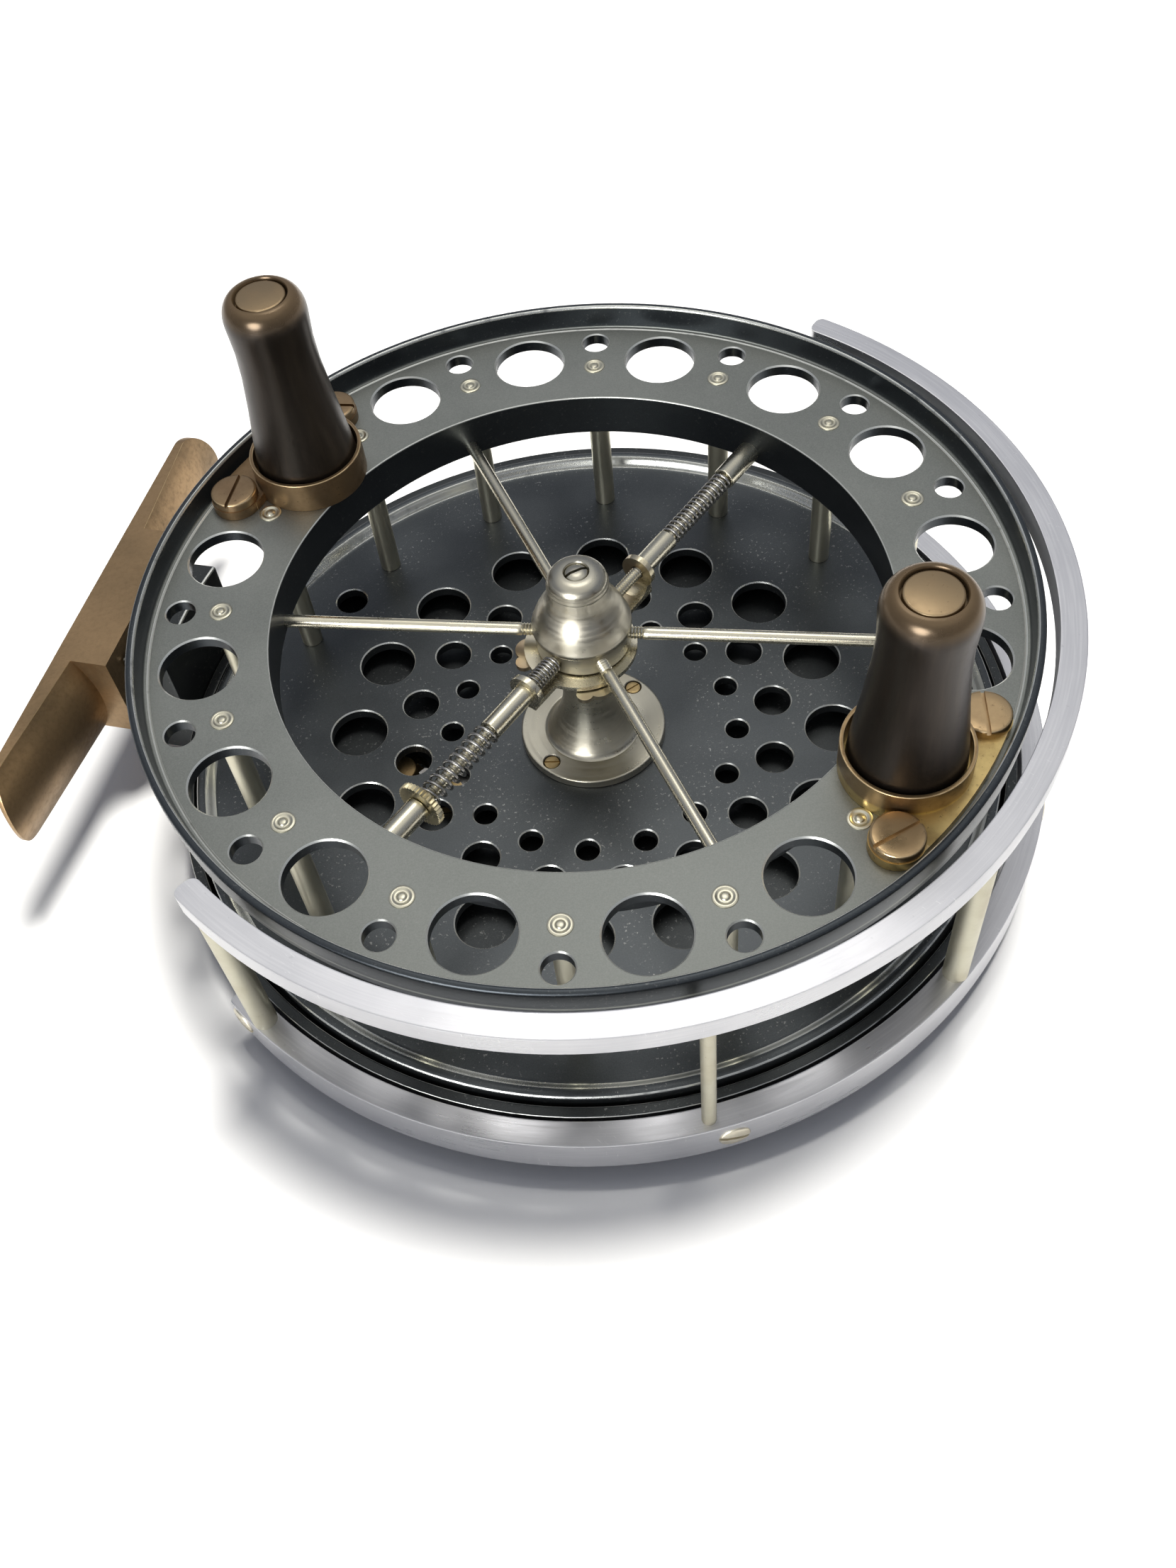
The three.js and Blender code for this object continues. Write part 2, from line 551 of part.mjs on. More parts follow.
function ratchetWheel() {
  const outline = new THREE.Shape();
  const top = REAR_UNDER - FIT;
  for (let k = 0; k < RATCHET.teeth; k += 1) {
    const start = rad((k * 360) / RATCHET.teeth);
    const next = rad(((k + 0.5) * 360) / RATCHET.teeth);
    outline[k === 0 ? "moveTo" : "lineTo"](RATCHET.tip * Math.cos(start), RATCHET.tip * Math.sin(start));
    outline.lineTo(RATCHET.root * Math.cos(next), RATCHET.root * Math.sin(next));
  }
  outline.closePath();
  const middle = rod(SPINDLE_FLANGE.radius + 1, 0, top + 1, 24);
  return plate(outline, top - RATCHET.thickness, top).subtract(middle);
}
const halfTooth = 180 / RATCHET.teeth;
const gapTurn = CHECK_ANGLE + meshedNoseAngle() - HANDLE_ANGLE - halfTooth;
piece(drum, "ratchet_wheel", ratchetWheel(), steel).rotation.z = rad(gapTurn);

// ---- drum: four plain spokes ----
[30, 150, 210, 330].forEach((angle, i) => {
  const spoke = laid(rod(SPOKE_RADIUS, SPOKE_INNER, SPOKE_OUTER, 10));
  piece(turnedGroup(drum, angle), `spoke_${i + 1}`, spoke, nickelSilver);
});

// The thick-headed rod that carries a spring and a sleeve.
function headedRod() {
  return laid(turned([
    [0, SPOKE_INNER], [SPOKE_RADIUS, SPOKE_INNER], [SPOKE_RADIUS, HEAD_INNER],
    [ROD_HEAD.radius, HEAD_INNER], [ROD_HEAD.radius, SPOKE_OUTER], [0, SPOKE_OUTER],
  ], 14));
}

function coil(radius, inner, outer) {
  return laid(tube(radius, radius - SPRING_WALL + 0.1, inner, outer, 14));
}

// An upright round lug with a hole for its rod, on an arm that runs in to a plate under the hub.
function luggedArm(lugAt, plateZ, reach, width) {
  const armLength = lugAt + LUG.thickness - reach;
  const arm = block(reach + armLength / 2, 0, plateZ + PLATE_THICKNESS / 2, armLength, width, PLATE_THICKNESS);
  const postHeight = SPOKE_Z - plateZ;
  const post = block(lugAt + LUG.thickness / 2, 0, plateZ + postHeight / 2, LUG.thickness, width, postHeight);
  const eye = laid(rod(LUG.radius, lugAt, lugAt + LUG.thickness, 14));
  return arm.add(post).add(eye).subtract(laid(rod(SLEEVE_BORE, 0, COLLAR_RADIUS, 10)));
}

// ---- drum: adjustable tension on the spoke at a right angle to the handles ----
const tension = turnedGroup(drum, 90);
const nutInner = HEAD_INNER - FIT - NUT.thickness;
piece(tension, "tension_rod", headedRod(), nickelSilver);
const nut = laid(tube(NUT.radius, SPOKE_RADIUS + RUN, nutInner, nutInner + NUT.thickness, 24));
piece(tension, "tension_nut", nut, brass);
piece(tension, "tension_spring", coil(TENSION_SPRING_RADIUS, SLEEVE_END + FIT, nutInner - FIT), steel);
const tensionStart = TENSION_LUG_AT + LUG.thickness + FIT;
const tensionSleeve = laid(tube(SLEEVE_RADIUS, SLEEVE_BORE, tensionStart, SLEEVE_END, 14));
piece(tension, "tension_sleeve", tensionSleeve, nickelSilver);
const returnSpring = coil(RETURN_SPRING_RADIUS, SPOKE_INNER + FIT, TENSION_LUG_AT - FIT);
piece(tension, "drag_return_spring", returnSpring, steel);

function dragPlate() {
  const disc = rod(DRAG_PLATE_RADIUS, DRAG_Z, DRAG_Z + PLATE_THICKNESS, 24);
  const bore = rod(SPINDLE_RADIUS + DRAG_TRAVEL + FIT, DRAG_Z - 1, HUB_BOTTOM, 20);
  return disc.add(luggedArm(TENSION_LUG_AT, DRAG_Z, DRAG_PLATE_RADIUS - 1, 2.6)).subtract(bore);
}
piece(tension, "drag_plate", dragPlate(), nickelSilver);

// ---- drum: release latch on the opposite spoke ----
const release = turnedGroup(drum, 270);
piece(release, "release_rod", headedRod(), nickelSilver);
piece(release, "release_spring", coil(RELEASE_SPRING_RADIUS, SLEEVE_END + FIT, HEAD_INNER - FIT), steel);
const releaseStart = RELEASE_LUG_AT + LUG.thickness + FIT;
const releaseSleeve = laid(tube(SLEEVE_RADIUS, SLEEVE_BORE, releaseStart, SLEEVE_END, 14));
piece(release, "release_sleeve", releaseSleeve, nickelSilver);

// The plate's slot hooks into the spindle's groove at rest and clears the spindle when pulled out.
function latchPlate() {
  const top = LATCH_Z + PLATE_THICKNESS;
  let disc = rod(LATCH_PLATE_RADIUS, LATCH_Z, top, 24);
  for (const side of [-1, 1]) {
    disc = disc.add(around(rod(1.7, LATCH_Z, top, 10), LATCH_PLATE_RADIUS + 0.4, side * 128));
    disc = disc.add(around(rod(1, LATCH_Z, top, 8), LATCH_PLATE_RADIUS + 1.3, side * 143));
  }
  const slotRadius = SPINDLE_RADIUS + 0.2;
  const hooked = slotRadius - GROOVE.radius - 0.1;
  const slot = new THREE.Shape();
  slot.absarc(-RELEASE_TRAVEL, 0, slotRadius, TIP_ANGLE, 3 * TIP_ANGLE, false);
  slot.absarc(-hooked, 0, slotRadius, -TIP_ANGLE, TIP_ANGLE, false);
  const opening = plate(slot, LATCH_Z - 1, top + 1, 8);
  return disc.add(luggedArm(RELEASE_LUG_AT, LATCH_Z, LATCH_PLATE_RADIUS - 1, 3)).subtract(opening);
}
piece(release, "latch_plate", latchPlate(), nickelSilver);

// ---- two handles ----
function handlePlate() {
  const outer = DRUM_RADIUS - LIP_WALL - 0.6;
  const half = STATION_ANGLE / 2;
  let solid = plate(sector(HANDLE_RING + 2, outer, -half, half, 8), CUP_BASE, PLATE_TOP);
  for (const side of [-1, 1]) {
    solid = solid.add(inset(rod(EAR.radius, CUP_BASE, PLATE_TOP, 14), EAR, side * half));
  }
  solid = solid.add(at(rod(CUP.radius, CUP_BASE, PLATE_TOP, 24), HANDLE_RING, 0));
  const wall = tube(CUP.radius, CUP.radius - CUP.wall, CUP_BASE, FACE_Z + CUP.height, 24);
  const pinHole = rod(HANDLE_PIN.radius + FIT, 0, PLATE_TOP + 1, 14);
  return solid.add(at(wall, HANDLE_RING, 0)).subtract(at(pinHole, HANDLE_RING, 0));
}

function handleBarrel() {
  const base = PLATE_TOP + 0.1;
  const top = FACE_Z + HANDLE_TOP;
  const socket = HANDLE_PIN.head + 0.25;
  const socketFloor = top - HANDLE_PIN.headThickness - 0.6;
  const bore = HANDLE_PIN.radius + RUN;
  const height = top - base;
  return turned([
    [bore, base], [HANDLE_BASE, base], [HANDLE_BASE - 0.1, base + height * 0.1],
    [HANDLE_BASE - 0.45, base + height * 0.22], [(HANDLE_BASE + HANDLE_WAIST) / 2 - 0.25, base + height * 0.4],
    [HANDLE_WAIST + 0.1, base + height * 0.6], [HANDLE_WAIST, base + height * 0.74],
    [HANDLE_SHOULDER, base + height * 0.88], [HANDLE_SHOULDER - 0.5, base + height * 0.95],
    [HANDLE_SHOULDER - 1.3, top], [socket, top], [socket, socketFloor], [bore, socketFloor],
  ], 20);
}

function handlePin() {
  const top = FACE_Z + HANDLE_TOP - 0.3;
  const neck = top - HANDLE_PIN.headThickness;
  return turned([
    [0, CUP_BASE + 0.1], [HANDLE_PIN.radius, CUP_BASE + 0.1], [HANDLE_PIN.radius, neck],
    [HANDLE_PIN.head, neck], [HANDLE_PIN.head, top], [0, top],
  ], 20);
}

[0, 180].forEach((angle, i) => {
  const station = turnedGroup(drum, angle);
  piece(station, `handle_plate_${i + 1}`, handlePlate(), brass);
  piece(station, `handle_barrel_${i + 1}`, handleBarrel(), horn).position.x = HANDLE_RING;
  piece(station, `handle_pin_${i + 1}`, handlePin(), bronze).position.x = HANDLE_RING;
});

export default reel;
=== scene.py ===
import bpy
from math import atan2, cos, degrees, pi, radians, sin, sqrt
from mathutils import Matrix, Vector


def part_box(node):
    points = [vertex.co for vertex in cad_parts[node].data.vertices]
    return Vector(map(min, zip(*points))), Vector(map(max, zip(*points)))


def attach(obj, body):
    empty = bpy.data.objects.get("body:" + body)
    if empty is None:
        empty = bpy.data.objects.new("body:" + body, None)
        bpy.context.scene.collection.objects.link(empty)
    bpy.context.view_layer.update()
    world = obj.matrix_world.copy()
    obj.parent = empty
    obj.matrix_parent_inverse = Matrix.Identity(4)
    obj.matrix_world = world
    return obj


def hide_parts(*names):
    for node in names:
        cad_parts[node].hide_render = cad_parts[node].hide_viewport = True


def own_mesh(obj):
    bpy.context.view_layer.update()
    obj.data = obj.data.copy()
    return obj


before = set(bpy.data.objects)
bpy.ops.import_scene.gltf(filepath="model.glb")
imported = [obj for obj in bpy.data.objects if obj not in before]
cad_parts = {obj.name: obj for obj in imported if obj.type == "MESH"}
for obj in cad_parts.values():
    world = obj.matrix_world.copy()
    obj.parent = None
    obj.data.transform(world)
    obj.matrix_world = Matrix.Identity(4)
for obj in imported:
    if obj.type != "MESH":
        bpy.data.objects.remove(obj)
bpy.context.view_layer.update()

# ---- Back plate ----
# The fixed side of the reel: a shallow dish turned from aluminium, anodised nearly black, whose
# upstanding rim runs round the drum's rear flange. The check button slides in a slot in its floor.
MM = 0.001
Z_AXIS = (0, 0, 1)
AXIS = 0.05  # where a solid outline stops short of the axis it is turned about
WELD = 0.001 * MM


def span(node):
    """A node's lowest and highest corners, in millimetres."""
    low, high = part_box(node)
    return low / MM, high / MM


def only(piece):
    bpy.ops.object.select_all(action="DESELECT")
    piece.select_set(True)
    bpy.context.view_layer.objects.active = piece
    return piece


def whole():
    """In edit mode, selects the whole mesh."""
    bpy.ops.mesh.select_all(action="SELECT")


def leave():
    """Goes back to object mode."""
    bpy.ops.object.mode_set(mode="OBJECT")


def settled(piece):
    """Applies a piece's own place, turn and scale to its mesh."""
    only(piece)
    bpy.ops.object.transform_apply()
    return piece


def select(piece, test):
    """Goes into edit mode with only the vertices selected that pass the test."""
    only(piece)
    bpy.ops.object.mode_set(mode="EDIT")
    bpy.ops.mesh.select_mode(type="VERT")
    bpy.ops.mesh.select_all(action="DESELECT")
    leave()
    for vertex in piece.data.vertices:
        vertex.select = test(vertex)
    bpy.ops.object.mode_set(mode="EDIT")


def stretched(piece, by):
    """Draws the half of a piece that lies beyond x = 0 out along X, in millimetres."""
    select(piece, lambda v: v.co.x > 0)
    bpy.ops.transform.translate(value=(by * MM, 0, 0))
    leave()
    return piece


def soft(points, steps=3):
    """A closed outline whose corners with a third number are rounded to that radius."""
    outline = []
    for index, point in enumerate(points):
        corner = Vector(point[:2])
        if len(point) == 2:
            outline.append(tuple(corner))
            continue
        before = Vector(points[index - 1][:2]) - corner
        after = Vector(points[(index + 1) % len(points)][:2]) - corner
        reach = min(point[2], before.length / 2, after.length / 2)
        start = corner + before.normalized() * reach
        end = corner + after.normalized() * reach
        for step in range(steps + 1):
            t = step / steps
            outline.append(tuple(start * (1 - t) ** 2 + corner * 2 * t * (1 - t) + end * t * t))
    return outline


def turned(name, outline, sides=96, tube=False):
    """Turned about Z from [radius, z] points in millimetres: a ring that is extruded and scaled."""
    points = outline + [outline[0]] if tube else outline
    radius, height = points[0]
    bpy.ops.object.select_all(action="DESELECT")
    bpy.ops.mesh.primitive_circle_add(vertices=sides, radius=radius * MM, location=(0, 0, height * MM))
    piece = bpy.context.object
    piece.name = name
    bpy.ops.object.transform_apply()
    bpy.ops.object.mode_set(mode="EDIT")
    whole()
    for (r, z), (next_r, next_z) in zip(points, points[1:]):
        bpy.ops.mesh.extrude_region_move(TRANSFORM_OT_translate={"value": (0, 0, (next_z - z) * MM)})
        bpy.ops.transform.resize(value=(next_r / r, next_r / r, 1), center_override=(0, 0, next_z * MM))
    if tube:
        whole()
        bpy.ops.mesh.remove_doubles(threshold=WELD)
    else:
        bpy.ops.mesh.edge_face_add()
        leave()
        select(piece, lambda v: v.index < sides)
        bpy.ops.mesh.edge_face_add()
    whole()
    bpy.ops.mesh.normals_make_consistent(inside=False)
    leave()
    return piece


def placed(piece, x=0, y=0, z=0, turn=0, tilt=0):
    """Tilts a piece about Y, moves it in millimetres, then turns it about Z, and applies that."""
    only(piece)
    move = Matrix.Translation((x * MM, y * MM, z * MM))
    tip = Matrix.Rotation(radians(tilt), 4, "Y")
    piece.matrix_world = Matrix.Rotation(radians(turn), 4, "Z") @ move @ tip @ piece.matrix_world
    bpy.ops.object.transform_apply()
    return piece


def on_ring(piece, radius, angle):
    """Moves a piece out to a ring round the drum axis without turning it."""
    return placed(piece, x=radius * cos(radians(angle)), y=radius * sin(radians(angle)))


def twin(piece, name=None):
    copy = piece.copy()
    copy.data = piece.data.copy()
    copy.name = name or piece.name
    bpy.context.collection.objects.link(copy)
    return copy


def joined(pieces):
    only(pieces[0])
    for piece in pieces:
        piece.select_set(True)
    bpy.ops.object.join()
    return pieces[0]


def ring_of(piece, angles):
    """Copies of a piece at these angles about Z, joined into one."""
    copies = [placed(twin(piece), turn=angle) for angle in angles]
    bpy.data.objects.remove(piece)
    return joined(copies)


def applied(piece, kind, **settings):
    only(piece)
    modifier = piece.modifiers.new(kind.lower(), kind)
    for key, value in settings.items():
        setattr(modifier, key, value)
    bpy.ops.object.modifier_apply(modifier=modifier.name)
    return piece


def cut(piece, tool, operation="DIFFERENCE"):
    applied(piece, "BOOLEAN", operation=operation, solver="EXACT", object=tool)
    bpy.data.objects.remove(tool)
    return piece


def eased(piece, width, segments=2, angle=35):
    """Breaks the sharp edges of a piece."""
    return applied(piece, "BEVEL", width=width * MM, segments=segments, limit_method="ANGLE",
                   angle_limit=radians(angle), use_clamp_overlap=True)


def hole_tool(radius, bottom, top, sides=48, chamfer=0.18):
    """A cutter for a drilled hole whose two mouths are lightly countersunk."""
    flare = chamfer + 0.4
    return turned("hole_tool", [
        (radius + flare, bottom - 0.4), (radius, bottom + chamfer), (radius, top - chamfer),
        (radius + flare, top + 0.4),
    ], sides)


class Wire:
    """A socket in an expression: arithmetic on it adds Math nodes."""

    def __init__(self, look, socket):
        self.look = look
        self.socket = socket

    def math(self, operation, *others):
        values = {index: value for index, value in enumerate((self,) + others)}
        return self.look.node("ShaderNodeMath", {"operation": operation}, values)

    def __add__(self, other):
        return self.math("ADD", other)

    def __mul__(self, other):
        return self.math("MULTIPLY", other)

    def __sub__(self, other):
        return self.math("SUBTRACT", other)

    def __rsub__(self, other):
        return self * -1 + other

    def __pow__(self, other):
        return self.math("POWER", other)

    def rise(self, low, high):
        """Goes smoothly from 0 at low to 1 at high."""
        settings = {"interpolation_type": "SMOOTHSTEP"}
        values = {"Value": self, "From Min": low, "From Max": high}
        return self.look.node("ShaderNodeMapRange", settings, values)


class Look:
    """One procedural finish: a Principled shader whose sockets are fed by expressions."""

    def __init__(self, name, roughness=0.4, metallic=1.0, **fixed):
        self.material = bpy.data.materials.new(name)
        self.material.use_nodes = True
        self.tree = self.material.node_tree
        self.shader = self.tree.nodes["Principled BSDF"]
        self.shader.inputs["Roughness"].default_value = roughness
        self.shader.inputs["Metallic"].default_value = metallic
        for key, value in fixed.items():
            self.shader.inputs[key.replace("_", " ")].default_value = value
        self.place = self.node("ShaderNodeTexCoord", output="Object")

    def node(self, kind, settings=None, values=None, output=0):
        node = self.tree.nodes.new(kind)
        for key, value in (settings or {}).items():
            setattr(node, key, value)
        for key, value in (values or {}).items():
            if isinstance(value, Wire):
                self.tree.links.new(value.socket, node.inputs[key])
            else:
                node.inputs[key].default_value = value
        return Wire(self, node.outputs[output])

    def axes(self):
        return [self.node("ShaderNodeSeparateXYZ", values={0: self.place}, output=axis) for axis in "XYZ"]

    def vector(self, x, y, z):
        return self.node("ShaderNodeCombineXYZ", values={0: x, 1: y, 2: z})

    def noise(self, scale, detail=3.0, rough=0.55, where=None):
        values = {"Vector": where or self.place, "Scale": scale, "Detail": detail, "Roughness": rough}
        return self.node("ShaderNodeTexNoise", values=values)

    def polar(self, across, along, up):
        """Coordinates that follow a turned surface: radius, angle and height, each with its own scale."""
        x, y, z = self.axes()
        radius = (x * x + y * y) ** 0.5
        angle = self.node("ShaderNodeMath", {"operation": "ARCTAN2"}, {0: y, 1: x})
        return self.vector(radius * across, angle * along, z * up)

    def mix(self, factor, first, second):
        colors = [c if isinstance(c, Wire) else (*c, 1) for c in (first, second)]
        values = {"Factor": factor, 6: colors[0], 7: colors[1]}
        return self.node("ShaderNodeMix", {"data_type": "RGBA"}, values, output=2)

    def feed(self, **wires):
        for key, wire in wires.items():
            self.tree.links.new(wire.socket, self.shader.inputs[key.replace("_", " ")])

    def bump(self, height, strength, distance):
        values = {"Strength": strength, "Distance": distance * MM, "Height": height}
        normal = self.node("ShaderNodeBump", values=values)
        self.tree.links.new(normal.socket, self.shader.inputs["Normal"])

    def worn(self):
        """1 on the faces that mark_worn() marked, 0 elsewhere."""
        return self.node("ShaderNodeAttribute", {"attribute_name": "worn"}, output="Fac")


def mark_worn(piece, test):
    """Marks faces painted bright: where the finish is rubbed through to bright metal, and on the front
    flange's lip also a painted highlight.
    """
    marks = piece.data.attributes.new("worn", "FLOAT", "FACE")
    for face, mark in zip(piece.data.polygons, marks.data):
        mark.value = float(test(face.center / MM, face.normal))


def mark_edges(piece, breadth):
    """Marks the slim faces that a bevel left, in millimetres across."""
    marks = piece.data.attributes.new("worn", "FLOAT", "FACE")
    for face, mark in zip(piece.data.polygons, marks.data):
        points = [piece.data.vertices[index].co for index in face.vertices]
        rim = sum((a - b).length for a, b in zip(points, points[1:] + points[:1]))
        mark.value = float(face.area < rim * breadth * MM / 2)


def finished(piece, look, body, nodes=(), smooth=40):
    """Shades a piece, gives it its finish and hands it to the frame."""
    only(piece)
    bpy.ops.object.mode_set(mode="EDIT")
    whole()
    bpy.ops.mesh.normals_make_consistent(inside=False)
    leave()
    bpy.ops.object.shade_smooth_by_angle(angle=radians(smooth))
    applied(piece, "WEIGHTED_NORMAL", keep_sharp=True, weight=60)
    piece.data.materials.clear()
    piece.data.materials.append(look.material)
    if nodes:
        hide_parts(*nodes)
    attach(piece, body)
    return piece


def anodised(name, dark, light, roughness, speckle, face=None):
    """Satin anodised aluminium with blasted grain, pale specks, fine scratches and bright edges, worn and, on
    the front flange's lip, partly a painted highlight. A given face is painted lighter, as painted light from
    above.
    """
    look = Look(name, metallic=0.85, Specular_IOR_Level=0.5)
    x, y, z = look.axes()
    clouds = look.noise(60, 4).rise(0.3, 0.7)
    grain = look.noise(7000, 2).rise(0.3, 0.7)
    patches = look.noise(130, 3).rise(0.4, 0.62)
    specks = look.noise(2400, 2, 0.6).rise(0.63, 0.69) * patches
    slanting = look.vector(x * 900 + y * 500, y * 6500 - x * 3600, z * 900)
    lines = look.noise(1.0, 2, where=slanting).rise(0.69, 0.73)
    scuffs = (specks + lines * patches * 0.6) * speckle
    edge = look.worn() * look.noise(350, 3).rise(0.2, 0.45)
    base = look.mix(clouds * 0.5 + grain * 0.4, dark, light)
    # painted light: the given face is coloured lighter than the rest of the piece, as if lit from above
    if face:
        depth = (z - face[0] * MM) * (1 / MM)
        on_face = depth.rise(-0.25, -0.08) * (1 - depth.rise(0.08, 0.3))
        base = look.mix(on_face, base, look.mix(clouds * 0.5 + grain * 0.5, face[1], face[2]))
        roughness = on_face * 0.12 + roughness
    base = look.mix(scuffs * 0.6, base, (0.42, 0.42, 0.4))
    look.feed(Base_Color=look.mix(edge * 0.85, base, (0.66, 0.67, 0.63)))
    look.feed(Roughness=clouds * 0.05 + grain * 0.04 + roughness - edge * 0.1)
    look.bump(grain + scuffs * 2, 0.1, 0.015)
    return look


plate_low, plate_high = span("back_plate")
PLATE_RADIUS = plate_high.x
PLATE_BOTTOM = plate_low.z
RIM_TOP = plate_high.z
RIM_WALL = 1.3
PLATE_FLOOR = 1.8
SPINDLE_SEAT = 3.05
plate_look = anodised("plate_anodised", (0.035, 0.038, 0.04), (0.065, 0.07, 0.07), 0.36, 0.5)
rim_inner = PLATE_RADIUS - RIM_WALL
floor_z = PLATE_BOTTOM + PLATE_FLOOR
back_plate = turned("back_plate_dish", soft([
    (SPINDLE_SEAT, PLATE_BOTTOM, 0.2), (PLATE_RADIUS, PLATE_BOTTOM, 1), (PLATE_RADIUS, RIM_TOP, 0.25),
    (rim_inner, RIM_TOP, 0.25), (rim_inner, floor_z, 0.8), (SPINDLE_SEAT, floor_z),
]), sides=160, tube=True)

button_low, button_high = span("check_button")
button_x = (button_low.x + button_high.x) / 2
BUTTON_TRAVEL = 1.4
BUTTON_STEM = 2.0
SLOT_GAP = 0.3
slot_radius = BUTTON_STEM + SLOT_GAP
slot_tool = turned("slot_tool", [(slot_radius, PLATE_BOTTOM - 1), (slot_radius, floor_z + 1)], 32)
cut(back_plate, placed(stretched(slot_tool, BUTTON_TRAVEL), x=button_x))
mark_worn(back_plate, lambda c, n: 0.2 < abs(n.z) < 0.95 and c.z > floor_z + 1)
finished(back_plate, plate_look, "frame", ["back_plate"])

# ---- Back boss and its screws ----
# A turned nickel silver button behind the plate that holds the foot of the spindle and is the face
# that the reel lies on. Three countersunk screws fix it to the plate.
BACK_BOSS_RADIUS, _, BACK_BOSS_TOP = span("back_boss")[1]
SCREW_RING = 7.4
SCREW_ANGLES = (30, 150, 270)


def nickel(name, dull=0.15, roughness=0.24, color=(0.64, 0.6, 0.49), stain=(0.34, 0.28, 0.19), turning=1.0):
    """Nickel silver with fine turning marks, a warm tarnish in patches and a few small dark spots."""
    look = Look(name)
    clouds = look.noise(170, 3, 0.5).rise(0.42, 0.72)
    fine = look.noise(3000, 2).rise(0.4, 0.7)
    marks = look.noise(1.0, 2, where=look.polar(1500, 0.3, 3200)).rise(0.4, 0.7)
    spots = look.noise(700, 3, 0.6).rise(0.7, 0.74) * clouds
    base = look.mix(clouds * dull, color, stain)
    base = look.mix(marks * 0.16 * turning, base, (0.42, 0.4, 0.34))
    look.feed(Base_Color=look.mix(spots * dull * 2, base, (0.16, 0.12, 0.07)))
    look.feed(Roughness=clouds * 0.08 + fine * 0.04 + marks * 0.06 * turning + roughness)
    look.bump(marks * turning + fine * (0.05 + 0.15 * turning), 0.03, 0.015)
    return look


def slotted_screw(name, radius, height, slot_width, dome=0.0):
    """A screw head that stands on z = 0, with a slot across it."""
    head = turned(name, soft([
        (AXIS, 0), (radius, 0), (radius, height, radius * 0.12), (radius * 0.55, height + dome),
        (AXIS, height + dome),
    ]), 40)
    bpy.ops.mesh.primitive_cube_add(size=1, location=(0, 0, (height + dome) * MM))
    blade = bpy.context.object
    blade.scale = (radius * 3 * MM, slot_width * MM, (height * 0.9 + dome) * MM)
    return cut(head, settled(blade))


nickel_dull = nickel("nickel_dull", dull=0.35, roughness=0.34)
back_boss = turned("back_boss_turned", soft([
    (AXIS, 0), (3.2, 0, 0.15), (3.2, 0.25, 0.1), (4, 0.25, 0.1), (4, 0, 0.15),
    (BACK_BOSS_RADIUS, 0, 0.9), (BACK_BOSS_RADIUS, BACK_BOSS_TOP, 0.2), (AXIS, BACK_BOSS_TOP),
]), sides=96)
cut(back_boss, ring_of(placed(hole_tool(1.3, -0.5, 0.7, 32, 0.1), x=SCREW_RING), SCREW_ANGLES))
finished(back_boss, nickel_dull, "frame", ["back_boss"])
boss_screw = placed(slotted_screw("back_boss_screw", 1.2, 0.4, 0.35), z=-0.55, tilt=180)
for number, angle in enumerate(SCREW_ANGLES, 1):
    screw = placed(twin(boss_screw, f"back_boss_screw_{number}"), z=1.1, turn=angle * 1.37)
    finished(on_ring(screw, SCREW_RING, angle), nickel_dull, "frame")
bpy.data.objects.remove(boss_screw)

# ---- Spindle ----
# The fixed steel shaft that the drum runs on, with a groove near its top that the latch hooks into.
# It is turned steel and the drum hides nearly all of it.
def steel(name, color=(0.5, 0.49, 0.47), roughness=0.22):
    look = Look(name)
    clouds = look.noise(700, 3).rise(0.35, 0.7)
    marks = look.noise(1.0, 2, where=look.polar(3000, 4, 5000)).rise(0.45, 0.7)
    look.feed(Base_Color=look.mix(clouds * 0.5, color, tuple(c * 0.6 for c in color)))
    look.feed(Roughness=clouds * 0.14 + marks * 0.08 + roughness)
    look.bump(marks, 0.1, 0.01)
    return look


def repainted(node, look):
    """Gives a CAD node that keeps its own shape a better finish."""
    for material_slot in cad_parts[node].material_slots:
        material_slot.material = look.material


steel_look = steel("bright_steel")
repainted("spindle", steel_look)

# ---- Rear half ring ----
# The lower half of the cage: a bent bar of bright aluminium, screwed round the back plate's rim.
# Its top is scratched along its length, and its outer wall is polished.
HALF_TURN_STEPS = 120
RING_EDGE = 0.2


def half_ring(name, node, half_angle, corner, middle):
    """A bar of rounded section spun round the drum axis, with closed ends whose corners are cut back."""
    low, high = span(node)
    section = soft([
        (RING_INNER, low.z, RING_EDGE), (RING_OUTER, low.z, RING_EDGE),
        (RING_OUTER, high.z, RING_EDGE), (RING_INNER, high.z, RING_EDGE),
    ], 2)
    bpy.ops.object.select_all(action="DESELECT")
    bpy.ops.mesh.primitive_circle_add(vertices=len(section), radius=1)
    ring = bpy.context.object
    ring.name = name
    for vertex, (r, z) in zip(ring.data.vertices, section):
        vertex.co = (r * MM, 0, z * MM)
    ring.rotation_euler.z = radians(middle - half_angle)
    bpy.ops.object.transform_apply()
    bpy.ops.object.mode_set(mode="EDIT")
    whole()
    bpy.ops.mesh.spin(steps=HALF_TURN_STEPS, angle=-radians(2 * half_angle), center=(0, 0, 0), axis=Z_AXIS)
    whole()
    bpy.ops.mesh.remove_doubles(threshold=WELD)
    bpy.ops.mesh.fill_holes(sides=0)
    bpy.ops.mesh.normals_make_consistent(inside=False)
    leave()
    return cut_corners(ring, low.z, high.z, half_angle, corner, middle)


